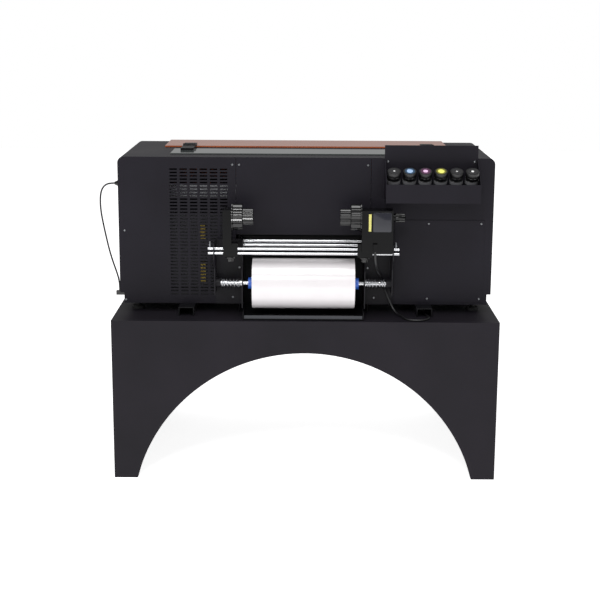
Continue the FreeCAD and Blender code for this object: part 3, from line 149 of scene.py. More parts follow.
# The surround is white to look at, but lights the machine as a dimmer room would.
ROOM_LIGHT = 0.45
seen = add(world.node_tree, "ShaderNodeLightPath")
room = add(world.node_tree, "ShaderNodeMapRange", {"Value": seen.outputs["Is Camera Ray"],
                                                   "To Min": ROOM_LIGHT, "To Max": 1.0})
surround = world.node_tree.nodes["Background"]
surround.inputs["Color"].default_value = (1, 1, 1, 1)
world.node_tree.links.new(room.outputs["Result"], surround.inputs["Strength"])
bpy.context.scene.world = world
bpy.context.scene.view_settings.view_transform = "Standard"

# Each light's name, place, width and power in watts; all are turned to the machine's middle.
LIGHTS = (("soft_box_left", (-2.6, -3.2, 2.2), 1.2, 24),
          ("soft_box_right", (2.6, -3.0, 2.4), 1.2, 18),
          ("soft_box_top", (0.0, -1.2, 3.0), 1.4, 30),
          ("strip_light", (-0.3, -3.4, 2.9), 0.45, 26))
LIT_POINT = Vector((0, 0, 0.6))
for light_name, place, width, watts in LIGHTS:
    light_data = bpy.data.lights.new(light_name, "AREA")
    light_data.size = width
    light_data.energy = watts
    light = bpy.data.objects.new(light_name, light_data)
    bpy.context.scene.collection.objects.link(light)
    light.location = place
    light.rotation_euler = (LIT_POINT - Vector(place)).to_track_quat("-Z", "Y").to_euler()

# ---------------------------------------------------------------- cables
# Two round PVC cables: one from the side gland down to its plug, one from the right take-up
# bracket behind the spring, along the deck and into the foot rail. Extruded black sheath.
SIDE_CABLE_RADIUS = 2.5 * MM
MOTOR_CABLE_RADIUS = 3.2 * MM
SIDE_ROUTE = (
    (-0.566, -0.205, 0.861), (-0.583, -0.205, 0.861), (-0.5985, -0.205, 0.8525),
    (-0.6075, -0.2055, 0.835), (-0.610, -0.206, 0.806), (-0.608, -0.206, 0.773),
    (-0.602, -0.2065, 0.738), (-0.595, -0.2065, 0.702), (-0.587, -0.206, 0.663),
    (-0.577, -0.2055, 0.626), (-0.5655, -0.205, 0.592), (-0.558, -0.205, 0.562),
    (-0.558, -0.205, 0.537),
)
MOTOR_ROUTE = (
    (0.200, -0.351, 0.686), (0.200, -0.351, 0.664), (0.205, -0.337, 0.638), (0.212, -0.306, 0.617),
    (0.220, -0.275, 0.603), (0.228, -0.254, 0.582), (0.236, -0.250, 0.556), (0.245, -0.251, 0.530),
    (0.255, -0.256, 0.508), (0.265, -0.266, 0.492), (0.277, -0.282, 0.484), (0.286, -0.302, 0.4833),
    (0.289, -0.324, 0.4833), (0.3025, -0.3425, 0.4833), (0.325, -0.350, 0.4833),
    (0.3475, -0.3425, 0.4833), (0.361, -0.3235, 0.4833), (0.363, -0.299, 0.4833),
    (0.357, -0.274, 0.4833), (0.351, -0.250, 0.4833), (0.351, -0.226, 0.4833),
)

# Extruded PVC sheath: satin black with a faint unevenness 4 mm across, left by the die.
cable_pvc, tree, shader, here = substance("extruded_pvc_sheath", Roughness=0.42, IOR=1.53)
drag = add(tree, "ShaderNodeTexNoise", {"Vector": here, "Scale": 1 / (4 * MM), "Detail": 3.0})
tone = add(tree, "ShaderNodeValToRGB", {"Fac": drag.outputs["Fac"]})
tone.color_ramp.elements[0].color = linear("#0b0b0c")
tone.color_ramp.elements[1].color = linear("#17171a")
bump = add(tree, "ShaderNodeBump", {"Height": drag.outputs["Fac"], "Strength": 0.2,
                                    "Distance": 0.1 * MM})
tree.links.new(tone.outputs["Color"], shader.inputs["Base Color"])
tree.links.new(bump.outputs["Normal"], shader.inputs["Normal"])
WELD_DISTANCE = 1e-6


def shell(name, grid, material, wrap_rows=False, smooth_below=40):
    """A closed skin over a grid of points: rows along the piece, columns round it. The last row
    either joins the first, or both end rows are filled; edges sharper than an angle stay crisp."""
    count_rows, count_columns = grid.shape[:2]
    index = np.arange(count_rows * count_columns).reshape(count_rows, count_columns)
    index = np.hstack([index, index[:, :1]])
    ends = [] if wrap_rows else [index[0, :-1].tolist(), index[-1, :-1].tolist()]
    if wrap_rows:
        index = np.vstack([index, index[:1]])
    quads = np.stack([index[:-1, :-1], index[:-1, 1:], index[1:, 1:], index[1:, :-1]], -1)
    mesh = bpy.data.meshes.new(name)
    mesh.from_pydata(grid.reshape(-1, 3).tolist(), [], quads.reshape(-1, 4).tolist() + ends)
    tidy = bmesh.new()
    tidy.from_mesh(mesh)
    bmesh.ops.remove_doubles(tidy, verts=tidy.verts, dist=WELD_DISTANCE)
    bmesh.ops.recalc_face_normals(tidy, faces=tidy.faces)
    tidy.to_mesh(mesh)
    tidy.free()
    mesh.shade_smooth()
    mesh.set_sharp_from_angle(angle=math.radians(smooth_below))
    mesh.materials.append(material)
    piece = bpy.data.objects.new(name, mesh)
    bpy.context.scene.collection.objects.link(piece)
    return piece


def smooth_line(route, steps=12):
    """Quadratic arcs from middle to middle of the route's legs, each drawn towards the corner
    between them; the line starts and ends on the route's own ends."""
    spots = np.array(route)
    middles = (spots[1:-2] + spots[2:-1]) / 2
    starts = np.vstack([spots[:1], middles])[:, None]
    ends = np.vstack([middles, spots[-1:]])[:, None]
    share = np.linspace(0, 1, steps, endpoint=False)[None, :, None]
    arcs = ((1 - share) ** 2 * starts + 2 * share * (1 - share) * spots[1:-1, None]
            + share ** 2 * ends)
    return np.vstack([arcs.reshape(-1, 3), spots[-1:]])


# Any direction that neither cable starts along.
FIRST_SPOKE_SIDE = (0.0, 1.0, 0.3)


def tube(line, radius, sides=14):
    """Rings of the given radius square to a line; each ring's first spoke is the last one's with
    its part along the line taken off, so the tube doesn't twist."""
    along = np.gradient(line, axis=0)
    along /= np.linalg.norm(along, axis=1, keepdims=True)
    spoke = np.cross(along[0], FIRST_SPOKE_SIDE)
    spokes = []
    for direction in along:
        spoke = spoke - spoke.dot(direction) * direction
        spoke = spoke / np.linalg.norm(spoke)
        spokes.append(spoke)
    spokes = np.array(spokes)
    around = np.linspace(0, 2 * np.pi, sides, endpoint=False)[None, :, None]
    ring = np.cos(around) * spokes[:, None] + np.sin(around) * np.cross(along, spokes)[:, None]
    return line[:, None] + radius * ring


for cable_name, route, radius, lay in (
        ("side_cable", SIDE_ROUTE, SIDE_CABLE_RADIUS, "hanging"),
        ("motor_cable", MOTOR_ROUTE, MOTOR_CABLE_RADIUS, "loose")):
    line = smooth_line(route)
    cable = shell(cable_name + "_lead", tube(line, radius), cable_pvc, smooth_below=60)
    if cable_name == "side_cable":
        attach(cable, "root")
    else:
        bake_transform(cable)
    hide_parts(cable_name)

# ---------------------------------------------------------------- stand
# Two arched panels, two end panels and a top plate of folded sheet steel, powder coated in a
# soft charcoal. The coat melts into a slight orange peel that breaks up the light.


def dress(material, *names):
    """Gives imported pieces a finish."""
    for name in names:
        for place in nodes[name].material_slots:
            place.material = material


def powder_coat(name, dark, light, rough, gloss=0.14):
    """Baked powder: orange peel 2 mm across over a broad, faint change of tone."""
    material, tree, shader, here = substance(name, Roughness=rough, IOR=1.5)
    shader.inputs["Specular IOR Level"].default_value = gloss
    peel = add(tree, "ShaderNodeTexNoise", {"Vector": here, "Scale": 1 / (2 * MM), "Detail": 3.0})
    broad = add(tree, "ShaderNodeTexNoise",
                {"Vector": here, "Scale": 1 / (180 * MM), "Detail": 4.0})
    tone = add(tree, "ShaderNodeValToRGB", {"Fac": broad.outputs["Fac"]})
    tone.color_ramp.elements[0].position = 0.3
    tone.color_ramp.elements[0].color = linear(dark)
    tone.color_ramp.elements[1].position = 0.7
    tone.color_ramp.elements[1].color = linear(light)
    shine = add(tree, "ShaderNodeMapRange", {"Value": broad.outputs["Fac"], "To Min": rough - 0.04,
                                             "To Max": rough + 0.06})
    bump = add(tree, "ShaderNodeBump", {"Height": peel.outputs["Fac"], "Strength": 0.25,
                                        "Distance": 0.08 * MM})
    tree.links.new(tone.outputs["Color"], shader.inputs["Base Color"])
    tree.links.new(shine.outputs["Result"], shader.inputs["Roughness"])
    tree.links.new(bump.outputs["Normal"], shader.inputs["Normal"])
    return material


stand_coat = powder_coat("powder_coated_stand_steel", "#19171c", "#1e1b21", 0.5)
dress(stand_coat, "stand_top", "stand_arch_panels", "stand_end_panels")

# ---------------------------------------------------------------- feet and rails
# Two channel rails of coated steel and four feet lift the machine off the stand; the base tray
# and the side frames have the rails' coat. The feet are in black rubber from pad to stem, and
# the feed and pinch rollers are covered in the same rubber.
frame_coat = powder_coat("powder_coated_black_frame_steel", "#0e0e10", "#141417", 0.38)
dress(frame_coat, "foot_rails", "base_tray", "side_frames")


def moulded_rubber(name, dark, light):
    """Moulded rubber: matt, with a fine pitted skin 1 mm across."""
    material, tree, shader, here = substance(name, Roughness=0.75, IOR=1.52)
    skin = add(tree, "ShaderNodeTexNoise", {"Vector": here, "Scale": 1 / (1 * MM), "Detail": 2.0})
    tone = add(tree, "ShaderNodeValToRGB", {"Fac": skin.outputs["Fac"]})
    tone.color_ramp.elements[0].color = linear(dark)
    tone.color_ramp.elements[1].color = linear(light)
    bump = add(tree, "ShaderNodeBump", {"Height": skin.outputs["Fac"], "Strength": 0.4,
                                        "Distance": 0.1 * MM})
    tree.links.new(tone.outputs["Color"], shader.inputs["Base Color"])
    tree.links.new(bump.outputs["Normal"], shader.inputs["Normal"])
    return material


dress(moulded_rubber("moulded_nitrile_rubber", "#101011", "#1b1b1c"),
      "levelling_feet", "feed_roller", "pinch_rollers")

# ---------------------------------------------------------------- casing
# Sheet-steel panels with punched vents and moulded side covers, all coated in a fine charcoal
# with a trace of violet.
casing_coat = powder_coat("powder_coated_casing_steel", "#16141a", "#1a181f", 0.45)
dress(casing_coat, "rear_panel_left", "rear_panel_centre", "rear_panel_right", "service_panel",
      "top_cover", "front_panel", "side_covers", "ink_rack")
dress(frame_coat, "feed_shroud")
dress(powder_coat("powder_coated_grey_frame_steel", "#1b1a1d", "#201f23", 0.4), "roll_frames")

# ---------------------------------------------------------------- window and lid
# A smoked acrylic sheet over the carriage, and an amber acrylic lid that stops ultraviolet,
# both cut from cast sheet. The lid swings on hinges in black coated steel.


def cast_acrylic(name, dark, light, see_through):
    """Cast acrylic: glassy, tinted through, with a slow waviness from the casting plate."""
    material, tree, shader, here = substance(name, Roughness=0.06, IOR=1.49)
    shader.inputs["Transmission Weight"].default_value = see_through
    shader.inputs["Specular IOR Level"].default_value = 0.16
    wave = add(tree, "ShaderNodeTexNoise", {"Vector": here, "Scale": 1 / (140 * MM), "Detail": 1.0})
    tone = add(tree, "ShaderNodeValToRGB", {"Fac": wave.outputs["Fac"]})
    tone.color_ramp.elements[0].color = linear(dark)
    tone.color_ramp.elements[1].color = linear(light)
    bump = add(tree, "ShaderNodeBump", {"Height": wave.outputs["Fac"], "Strength": 0.08,
                                        "Distance": 1 * MM})
    tree.links.new(tone.outputs["Color"], shader.inputs["Base Color"])
    tree.links.new(bump.outputs["Normal"], shader.inputs["Normal"])
    return material


dress(cast_acrylic("smoked_cast_acrylic", "#3c403f", "#4b504f", 0.0), "top_window")
dress(cast_acrylic("amber_cast_acrylic", "#96492a", "#ae6340", 0.06), "lid_panel")
dress(frame_coat, "hinge_base_leaves", "hinge_lid_leaves")

# ---------------------------------------------------------------- rods, rollers and spindles
# Steel bar, turned and ground bright: fine rings left by the wheel, and a clear reflection. The
# fasteners are zinc plated, which is darker and duller.


def ground_steel(name, dark, light, rough):
    """Ground steel: uneven rings about 5 mm apart along X, which is 2 pi / 20 of the wave's 16 mm.
    They are drawn far coarser than the real grinding, which would be too fine to see."""
    material, tree, shader, here = substance(name, Metallic=1.0, Roughness=rough)
    rings = add(tree, "ShaderNodeTexWave",
                {"Vector": here, "Scale": 1 / (16 * MM), "Distortion": 3.0, "Detail": 3.0},
                bands_direction="X")
    tone = add(tree, "ShaderNodeValToRGB", {"Fac": rings.outputs["Fac"]})
    tone.color_ramp.elements[0].color = linear(dark)
    tone.color_ramp.elements[1].color = linear(light)
    bump = add(tree, "ShaderNodeBump", {"Height": rings.outputs["Fac"], "Strength": 0.15,
                                        "Distance": 0.05 * MM})
    tree.links.new(tone.outputs["Color"], shader.inputs["Base Color"])
    tree.links.new(bump.outputs["Normal"], shader.inputs["Normal"])
    return material


bar_steel = ground_steel("ground_bright_steel", "#b4b5b8", "#d2d3d6", 0.22)
dress(bar_steel, "guide_roller_upper", "guide_roller_lower", "spindle_left", "spindle_right")
dress(ground_steel("zinc_plated_steel", "#77797c", "#97999d", 0.4), "fasteners")

# The rods are bright, while the tie bar low down between the frames is dull rolled bar.
rod_steel = ground_steel("ground_rods_and_rolled_tie_bar", "#b4b5b8", "#d2d3d6", 0.22)
tree = rod_steel.node_tree
shader = next(item for item in tree.nodes if item.type == "BSDF_PRINCIPLED")
bright = next(item for item in tree.nodes if item.type == "VALTORGB").outputs["Color"]
TIE_BAR_TOP = 0.52
own_place = add(tree, "ShaderNodeTexCoord").outputs["Object"]
height = add(tree, "ShaderNodeSeparateXYZ", {"Vector": own_place})
low_down = add(tree, "ShaderNodeMath", {0: height.outputs["Z"], 1: TIE_BAR_TOP},
               operation="LESS_THAN")
rolled = add(tree, "ShaderNodeMix", {"Factor": low_down.outputs[0]}, data_type="RGBA")
tree.links.new(bright, rolled.inputs["A"])
rolled.inputs["B"].default_value = linear("#3e3f42")
tree.links.new(rolled.outputs["Result"], shader.inputs["Base Color"])
dress(rod_steel, "rods_and_tie_bar")

# ---------------------------------------------------------------- springs
# Cold-wound chrome spring wire with closed ends, seated between the spindle's collar and the
# bearing. The real spring shortens as the spindle is pulled out; this one is drawn at one length
# and fixed to the root.


chrome_wire, tree, shader, here = substance("bright_chrome_spring_wire", Metallic=1.0,
                                            Roughness=0.12)
drawn = add(tree, "ShaderNodeTexNoise", {"Vector": here, "Scale": 1 / (3 * MM), "Detail": 2.0})
tone = add(tree, "ShaderNodeValToRGB", {"Fac": drawn.outputs["Fac"]})
tone.color_ramp.elements[0].color = linear("#bfc1c6")
tone.color_ramp.elements[1].color = linear("#e4e5e8")
tree.links.new(tone.outputs["Color"], shader.inputs["Base Color"])
SPRING_TURNS = 7
SPRING_STEPS = 420
WIRE_SIDES = 12
WIRE_RADIUS = 1.2 * MM
END_TURN_CLOSING = 0.055


def spring_wire(low_x, high_x, axis_y, axis_z, coil_radius):
    """A wire carried along a helix about X: x rises with the turn, slower in the end turns, and
    the wire's ring lies in the plane of the helix's radius and the axis."""
    turn = np.linspace(0, 1, SPRING_STEPS)
    closing = turn - END_TURN_CLOSING * np.sin(2 * np.pi * turn)
    x = low_x + WIRE_RADIUS + (high_x - low_x - 2 * WIRE_RADIUS) * closing
    angle = 2 * np.pi * SPRING_TURNS * turn
    around = np.linspace(0, 2 * np.pi, WIRE_SIDES, endpoint=False)
    reach = coil_radius + WIRE_RADIUS * np.cos(around)[None, :]
    return np.stack([x[:, None] + WIRE_RADIUS * np.sin(around)[None, :],
                     axis_y + reach * np.cos(angle)[:, None],
                     axis_z + reach * np.sin(angle)[:, None]], -1)


for side_name, outer_is_low in (("left", True), ("right", False)):
    low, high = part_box(f"spring_{side_name}")
    middle = (low + high) / 2
    coil = (high.z - low.z) / 2 - WIRE_RADIUS
    spring = shell(f"wound_spring_{side_name}",
                   spring_wire(low.x, high.x, middle.y, middle.z, coil), chrome_wire,
                   smooth_below=80)
    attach(spring, "root")
    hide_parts(f"spring_{side_name}")
    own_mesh(spring)

# ---------------------------------------------------------------- film roll
# Glossy white film wound tight on a board core. The layers stand a little uneven at each end,
# which shows as fine rings.
film, tree, shader, here = substance("gloss_polyester_film", Roughness=0.2, IOR=1.6,
                                     Coat_Weight=0.3)
streak = add(tree, "ShaderNodeTexNoise", {"Vector": here, "Scale": 1 / (60 * MM), "Detail": 3.0})
tone = add(tree, "ShaderNodeValToRGB", {"Fac": streak.outputs["Fac"]})
tone.color_ramp.elements[0].color = linear("#d3cfd1")
tone.color_ramp.elements[1].color = linear("#dcd8da")
tree.links.new(tone.outputs["Color"], shader.inputs["Base Color"])
ROUND_STEPS = 128


def turned(profile, origin, axis=(1, 0, 0), steps=ROUND_STEPS, wave=0.0, waves=0):
    """A profile of (along, radius) carried round an axis; the radius may be scaled by
    1 + wave * (cos(waves * angle) - 1), which cuts ribs or lobes inward."""
    along, radius = np.array(profile, float).T
    line = Vector(axis).normalized()
    first = line.orthogonal().normalized()
    second = line.cross(first)
    angle = np.linspace(0, 2 * np.pi, steps, endpoint=False)
    swell = 1 + wave * (np.cos(waves * angle) - 1)
    out = np.cos(angle)[:, None] * np.array(first) + np.sin(angle)[:, None] * np.array(second)
    return (np.array(origin) + along[:, None, None] * np.array(line)
            + radius[:, None, None] * swell[None, :, None] * out[None])


low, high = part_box("media_roll")
roll_centre = (low + high) / 2
roll_radius = (high.z - low.z) / 2
core_radius = (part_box("roll_core")[1].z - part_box("roll_core")[0].z) / 2
roll_half = (high.x - low.x) / 2
LAYER_RINGS = 70
CORE_CLEARANCE = 0.1 * MM
EDGE_ROUNDING = 0.4 * MM
LAYER_SHIFT = 0.25 * MM
FINE_STEP = 1.7 * MM
BROAD_STEP = 5.3 * MM
ring_radius = np.linspace(core_radius + CORE_CLEARANCE, roll_radius - EDGE_ROUNDING, LAYER_RINGS)
unevenness = LAYER_SHIFT * (1 + np.sin(ring_radius / FINE_STEP) * np.cos(ring_radius / BROAD_STEP))
right_face = np.stack([roll_half - unevenness, ring_radius], -1)
left_face = np.stack([-roll_half + unevenness, ring_radius], -1)
edge = np.array([(roll_half - EDGE_ROUNDING, roll_radius),
                 (-roll_half + EDGE_ROUNDING, roll_radius)])
roll_profile = np.vstack([right_face, edge, left_face[::-1]])
film_roll = shell("wound_film_roll", turned(roll_profile, roll_centre), film, wrap_rows=True)
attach(film_roll, "roll")
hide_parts("media_roll")

# Spiral-wound board: dull brown, with a slow slanting change of tone that repeats every half
# metre of x + y + z; single seams are too fine to show.
core_board, tree, shader, here = substance("wound_core_board", Roughness=0.9)
seams = add(tree, "ShaderNodeTexWave",
            {"Vector": here, "Scale": 1 / (800 * MM), "Distortion": 1.0},
            bands_direction="DIAGONAL")
tone = add(tree, "ShaderNodeValToRGB", {"Fac": seams.outputs["Fac"]})
tone.color_ramp.elements[0].color = linear("#8a7458")
tone.color_ramp.elements[1].color = linear("#a68c6b")
tree.links.new(tone.outputs["Color"], shader.inputs["Base Color"])
dress(core_board, "roll_core")

# ---------------------------------------------------------------- cones
# Blue nylon cones, turned from bar, that plug the core's ends and centre the roll on the
# spindles. The cut skin is satin, with a faint grain 2 mm across.


def moulded_plastic(name, dark, light, rough):
    """Moulded or turned plastic: a soft, slightly mottled skin with grain 2 mm across."""
    material, tree, shader, here = substance(name, Roughness=rough, IOR=1.53)
    grain = add(tree, "ShaderNodeTexNoise", {"Vector": here, "Scale": 1 / (2 * MM), "Detail": 2.0})
    tone = add(tree, "ShaderNodeValToRGB", {"Fac": grain.outputs["Fac"]})
    tone.color_ramp.elements[0].color = linear(dark)
    tone.color_ramp.elements[1].color = linear(light)
    bump = add(tree, "ShaderNodeBump", {"Height": grain.outputs["Fac"], "Strength": 0.15,
                                        "Distance": 0.05 * MM})
    tree.links.new(tone.outputs["Color"], shader.inputs["Base Color"])
    tree.links.new(bump.outputs["Normal"], shader.inputs["Normal"])
    return material


dress(moulded_plastic("turned_blue_nylon", "#2452b4", "#3b6fd0", 0.35), "cone_left", "cone_right")

# ---------------------------------------------------------------- take-up brackets, chucks, knobs
# Take-up brackets in gloss black stoved enamel, with stepped chucks moulded in black nylon and
# lobed phenolic knobs. The cable fittings and the power button are moulded in the same nylon.
bracket_paint = powder_coat("stoved_black_enamel", "#050506", "#09090a", 0.2, 0.16)
dress(bracket_paint, "bracket_left", "bracket_right")
black_nylon = moulded_plastic("moulded_black_nylon", "#060607", "#0b0b0c", 0.14)
dress(black_nylon, "cable_fittings", "power_button")
CHUCK_RIBS = 12
CHUCK_RIB_DEPTH = 0.05
POINTS_PER_RIB = 18
CHUCK_BORE = 6.05 * MM
CHUCK_BORE_DEPTH = 19.8 * MM
RIM_RADIUS = 41 * MM
RIM_WIDTH = 2.2 * MM
RIM_BACK = 3 * MM
RIM_EDGE = 0.8 * MM
STEP_RADIUS = 38 * MM
NOSE_RADIUS = 24.5 * MM
STEP_CHAMFER = 1.5 * MM
STEP_RISE = 1 * MM
for side_name, inward in (("left", 1), ("right", -1)):
    low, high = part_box(f"chuck_{side_name}")
    hub = joints[f"chuck_{side_name}_spin"]["pos_m"]
    face = low.x if inward > 0 else high.x
    reach = (high.x - low.x) / 2
    profile = [(0, CHUCK_BORE), (0, RIM_RADIUS), (RIM_WIDTH, RIM_RADIUS),
               (RIM_BACK, RIM_RADIUS - RIM_EDGE), (RIM_BACK, STEP_RADIUS - STEP_CHAMFER),
               (RIM_BACK + STEP_RISE, STEP_RADIUS), (reach - STEP_CHAMFER, STEP_RADIUS),
               (reach, STEP_RADIUS - STEP_CHAMFER), (reach, NOSE_RADIUS - STEP_CHAMFER),
               (reach + STEP_RISE, NOSE_RADIUS), (2 * reach - STEP_CHAMFER, NOSE_RADIUS),
               (2 * reach, NOSE_RADIUS - STEP_CHAMFER), (2 * reach, 0), (CHUCK_BORE_DEPTH, 0),
               (CHUCK_BORE_DEPTH, CHUCK_BORE)]
    chuck = shell(f"stepped_chuck_{side_name}",
                  turned(profile, (face, hub[1], hub[2]), (inward, 0, 0),
                         CHUCK_RIBS * POINTS_PER_RIB, CHUCK_RIB_DEPTH, CHUCK_RIBS),
                  black_nylon, wrap_rows=True, smooth_below=32)
    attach(chuck, f"chuck_{side_name}")
    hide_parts(f"chuck_{side_name}")


# Blank plates on the right bracket: a gloss cover with rounded corners, and a plain yellow
# label beside it. Neither carries any lettering.
FACE_Y = -0.345
COVER_X, COVER_Z = (0.193, 0.246), (0.742, 0.798)
COVER_THICKNESS = 1.2 * MM
COVER_CORNER = 4 * MM
LABEL_X, LABEL_Z = (0.1805, 0.188), (0.7435, 0.7935)
LABEL_THICKNESS = 0.3 * MM
LABEL_CORNER = 1 * MM


def plate(name, x, z, front_y, thick, corner, material, body):
    """A rounded rectangle swept back along Y: each corner is a quarter circle, and the front edge
    is drawn in by half the thickness over a quarter turn."""
    quarter = np.linspace(0, np.pi / 2, 9)
    angle = np.concatenate([quarter + turn * np.pi / 2 for turn in range(4)])
    sign = np.repeat(np.array([(1, 1), (-1, 1), (-1, -1), (1, -1)]), len(quarter), axis=0)
    half = np.array([(x[1] - x[0]) / 2 - corner, (z[1] - z[0]) / 2 - corner])
    ring = sign * half + corner * np.stack([np.cos(angle), np.sin(angle)], -1)
    bend = np.linspace(0, np.pi / 2, 5)
    draw = np.concatenate([thick / 2 * (1 - np.sin(bend)), [0]])
    back = np.concatenate([thick / 2 * (1 - np.cos(bend)), [thick]])
    scale = 1 - draw[:, None] / (corner + half.min())
    centre = np.array([(x[0] + x[1]) / 2, (z[0] + z[1]) / 2])
    flat = centre + ring[None] * scale[..., None]
    depth = np.broadcast_to((front_y + back)[:, None], flat.shape[:2])
    piece = shell(name, np.stack([flat[..., 0], depth, flat[..., 1]], -1), material)
    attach(piece, body)
    return piece


label_yellow = moulded_plastic("blank_yellow_vinyl_label", "#b9b35c", "#cfc978", 0.35)
cover_black = moulded_plastic("moulded_gloss_black_cover", "#14151d", "#1b1c26", 0.08)
plate("bracket_cover_right", COVER_X, COVER_Z, FACE_Y - COVER_THICKNESS, COVER_THICKNESS,
      COVER_CORNER, cover_black, "bracket_right")
plate("blank_label", LABEL_X, LABEL_Z, FACE_Y - LABEL_THICKNESS, LABEL_THICKNESS, LABEL_CORNER,
      label_yellow, "bracket_right")

# Compression-moulded phenolic knobs: two six-lobed clamp knobs on steel studs, and a five-lobed
# star on the drag screw.
phenolic = moulded_plastic("moulded_black_phenolic", "#070708", "#0c0c0d", 0.16)
KNOB_STEPS = 180
CLAMP_LOBES = 6
CLAMP_LOBE_DEPTH = 0.1
STUD_RADIUS = 3.5 * MM
STUD_RISE = 3 * MM
NECK_LENGTH = 8 * MM
NECK_RADIUS = 10 * MM
NECK_FOOT_RADIUS = 9.6 * MM
for knob_name in ("clamp_knob_left", "clamp_knob_right"):
    low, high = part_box(knob_name)
    centre = Vector(((low.x + high.x) / 2, (low.y + high.y) / 2, 0))
    radius = (high.x - low.x) / 2
    top = high.z - STUD_RISE
    crown = [(top - sink * MM, radius * share) for sink, share in
             ((0, 0), (0, 0.85), (1, 0.97), (3, 1), (6, 0.97), (7, 0.8))]
    neck = [(low.z + NECK_LENGTH, NECK_RADIUS), (low.z + 1 * MM, NECK_FOOT_RADIUS),
            (low.z, NECK_FOOT_RADIUS - 1 * MM), (low.z, 0)]
    knob = shell(knob_name + "_grip",
                 turned(crown + neck, centre, (0, 0, 1), KNOB_STEPS, CLAMP_LOBE_DEPTH, CLAMP_LOBES),
                 phenolic)
    stud = [(top - 1 * MM, 0), (top - 1 * MM, STUD_RADIUS), (high.z, STUD_RADIUS), (high.z, 0)]
    stem = shell(knob_name + "_stem", turned(stud, centre, (0, 0, 1)), bar_steel)
    for piece in (knob, stem):
        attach(piece, knob_name)
        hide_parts(knob_name)
STAR_LOBES = 5
STAR_LOBE_DEPTH = 0.13
low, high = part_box("tension_knob")
hub = joints["tension_turn"]["pos_m"]
star_radius = (high.z - low.z) / 2
star_profile = [(low.x, 0), (low.x, star_radius * 0.8), (low.x + 2 * MM, star_radius),
                (high.x - 3 * MM, star_radius), (high.x - 1 * MM, star_radius * 0.85),
                (high.x, star_radius * 0.6), (high.x, 0)]
star = shell("star_knob",
             turned(star_profile, (0, hub[1], hub[2]), (1, 0, 0), KNOB_STEPS,
                    STAR_LOBE_DEPTH, STAR_LOBES), phenolic)
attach(star, "tension_knob")
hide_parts("tension_knob")

# ---------------------------------------------------------------- ink bottles and caps
# Black blow-moulded bottles with ribbed screw caps, a seal ring under each cap and a blank
# paper band round each bottle. A cap's top carries a printed ring and disc in its ink's colour.
dress(moulded_plastic("blow_moulded_black_polyethylene", "#101012", "#19191b", 0.3), "ink_bottles")
CAP_LOW = 60.3 * MM
CAP_HEIGHT = 14 * MM
CAP_RADIUS = 19.4 * MM
CAP_WALL_INNER = 13.4 * MM
CAP_ROOF = 70.3 * MM
RIBS = 40
RIB_DEPTH = 0.02
POINTS_PER_CAP_RIB = 6
POINTS_PER_SMOOTH_RIB = 3
DISC_SINK = 0.4 * MM
RING_RISE = 0.15 * MM
CENTRE_RISE = 0.3 * MM
# Profiles of (along, radius) in millimetres, counted from the cap joint along its axis.
SEAL_RING = ((49.5, 17.6), (49.5, 19), (58.6, 19), (59.6, 18), (59.6, 16.4))
PAPER_BAND = ((37, 19.4), (37, 19.8), (47.2, 19.8), (47.2, 19.4))
cap_plastic = moulded_plastic("moulded_black_polypropylene", "#060607", "#0c0c0e", 0.3)
# Each cap's ring colour, disc colour and disc radius in millimetres.
CAP_DISCS = (("#1d1d1f", "#c9c9c9", 3.0), ("#24415a", "#9db9dc", 9.0), ("#4b2644", "#e6bfe2", 6.8),
             ("#68651a", "#e9e872", 9.4), ("#1d1d1f", "#c9c9c9", 3.0), ("#1d1d1f", "#e6e6e6", 4.2))
RING_RADIUS = 14.6 * MM
band_paper = moulded_plastic("blank_coated_paper_band", "#6c6c6f", "#808084", 0.5)
for number, (ring_colour, disc_colour, disc_radius) in enumerate(CAP_DISCS, start=1):
    joint = joints[f"cap_{number}_turn"]
    base, line = Vector(joint["pos_m"]), Vector(joint["axis"])
    cap_top = CAP_LOW + CAP_HEIGHT
    profile = [(CAP_LOW, CAP_WALL_INNER), (CAP_LOW, CAP_RADIUS), (cap_top - 1.5 * MM, CAP_RADIUS),
               (cap_top - 0.4 * MM, CAP_RADIUS - 0.6 * MM), (cap_top, CAP_RADIUS - 1.8 * MM),
               (cap_top, 0), (CAP_ROOF, 0), (CAP_ROOF, CAP_WALL_INNER)]
    cap = shell(f"ribbed_cap_{number}",
                turned(profile, base, line, RIBS * POINTS_PER_CAP_RIB, RIB_DEPTH / 2, RIBS),
                cap_plastic, wrap_rows=True)
    prints = []
    for part_name, colour, radius, rise in (
            ("ring", ring_colour, RING_RADIUS, RING_RISE),
            ("centre", disc_colour, disc_radius * MM, CENTRE_RISE)):
        ink_print = moulded_plastic(f"printed_{part_name}_{number}", colour, colour, 0.3)
        disc = [(cap_top - DISC_SINK, 0), (cap_top - DISC_SINK, radius),
                (cap_top + rise * 0.6, radius), (cap_top + rise, radius * 0.95),
                (cap_top + rise, 0)]
        prints.append(shell(f"cap_{part_name}_{number}", turned(disc, base, line), ink_print))
    for piece in (cap, *prints):
        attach(piece, f"ink_cap_{number}")
    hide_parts(f"ink_cap_{number}")
    round_steps = RIBS * POINTS_PER_SMOOTH_RIB
    tier = shell(f"seal_ring_{number}",
                 turned(np.array(SEAL_RING) * MM, base, line, round_steps),
                 cap_plastic, wrap_rows=True)
    band = shell(f"blank_bottle_band_{number}",
                 turned(np.array(PAPER_BAND) * MM, base, line, round_steps),
                 band_paper, wrap_rows=True)
    for piece, slot_name in ((tier, "cap"), (band, "bottle")):
        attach(piece, "root")

# ---------------------------------------------------------------- inside the casing
# Drawn and anodised aluminium beam and platen, a coated steel carriage with black nylon heads,
# capping station and drive, and the electronics on the base tray.


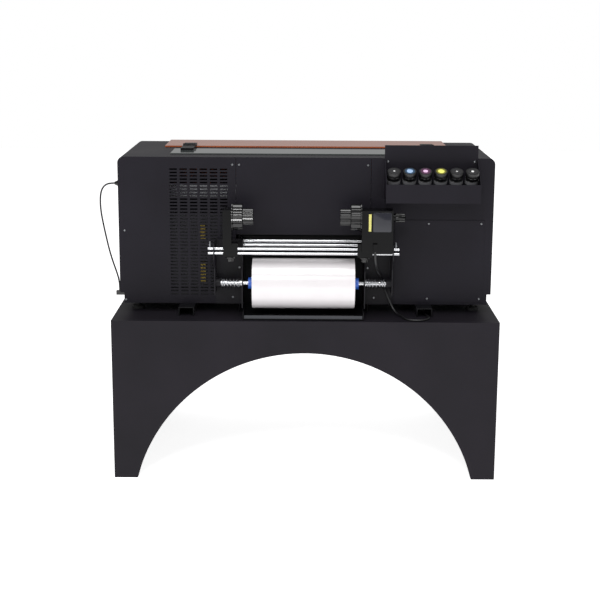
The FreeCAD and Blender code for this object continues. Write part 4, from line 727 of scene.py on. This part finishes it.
def anodised(name, dark, light):
    """Anodised aluminium: satin metal with drawing lines along X, 3 mm apart, as its noise is
    squeezed forty times across the beam."""
    material, tree, shader, here = substance(name, Metallic=1.0, Roughness=0.35)
    stretch = add(tree, "ShaderNodeMapping", {"Vector": here, "Scale": (1.0, 40.0, 40.0)})
    lines = add(tree, "ShaderNodeTexNoise", {"Vector": stretch.outputs["Vector"], "Scale": 8.0,
                                             "Detail": 3.0})
    tone = add(tree, "ShaderNodeValToRGB", {"Fac": lines.outputs["Fac"]})
    tone.color_ramp.elements[0].color = linear(dark)
    tone.color_ramp.elements[1].color = linear(light)
    tree.links.new(tone.outputs["Color"], shader.inputs["Base Color"])
    return material


dress(anodised("clear_anodised_aluminium", "#a6a8ab", "#c0c2c5"), "gantry_beam", "platen")
dress(casing_coat, "carriage")
dress(black_nylon, "print_heads", "cap_station", "carriage_drive")

# Power supply in galvanised sheet, its grey painted far darker as painted shade inside the closed
# casing, with yellow terminal covers on its rear, and a green board on the other side. One finish,
# told apart by where each part stands.
electrics, tree, shader, here = substance("galvanised_case_in_painted_shade_terminals_and_board", Roughness=0.5)
spangle = add(tree, "ShaderNodeTexVoronoi", {"Vector": here, "Scale": 1 / (9 * MM)})
zinc_spangle_in_painted_shade = add(tree, "ShaderNodeValToRGB", {"Fac": spangle.outputs["Distance"]})
# These two greys are far darker than bare galvanised sheet: painted shade for the casing's inside.
# The spangle pattern is the sheet's own.
zinc_spangle_in_painted_shade.color_ramp.elements[0].color = linear("#1f2022")
zinc_spangle_in_painted_shade.color_ramp.elements[1].color = linear("#2b2c2f")
where = add(tree, "ShaderNodeSeparateXYZ", {"Vector": here})
SUPPLY_REAR = -0.2121
BOARD_SIDE = 0.2
behind = add(tree, "ShaderNodeMath", {0: where.outputs["Y"], 1: SUPPLY_REAR}, operation="LESS_THAN")
right_side = add(tree, "ShaderNodeMath", {0: where.outputs["X"], 1: BOARD_SIDE},
                 operation="GREATER_THAN")
with_terminals = add(tree, "ShaderNodeMix", {"Factor": behind.outputs[0]}, data_type="RGBA")
tree.links.new(zinc_spangle_in_painted_shade.outputs["Color"], with_terminals.inputs["A"])
with_terminals.inputs["B"].default_value = linear("#a88f2e")
with_board = add(tree, "ShaderNodeMix", {"Factor": right_side.outputs[0]}, data_type="RGBA")
tree.links.new(with_terminals.outputs["Result"], with_board.inputs["A"])
with_board.inputs["B"].default_value = linear("#1d4a2c")
tree.links.new(with_board.outputs["Result"], shader.inputs["Base Color"])
dress(electrics, "electronics")
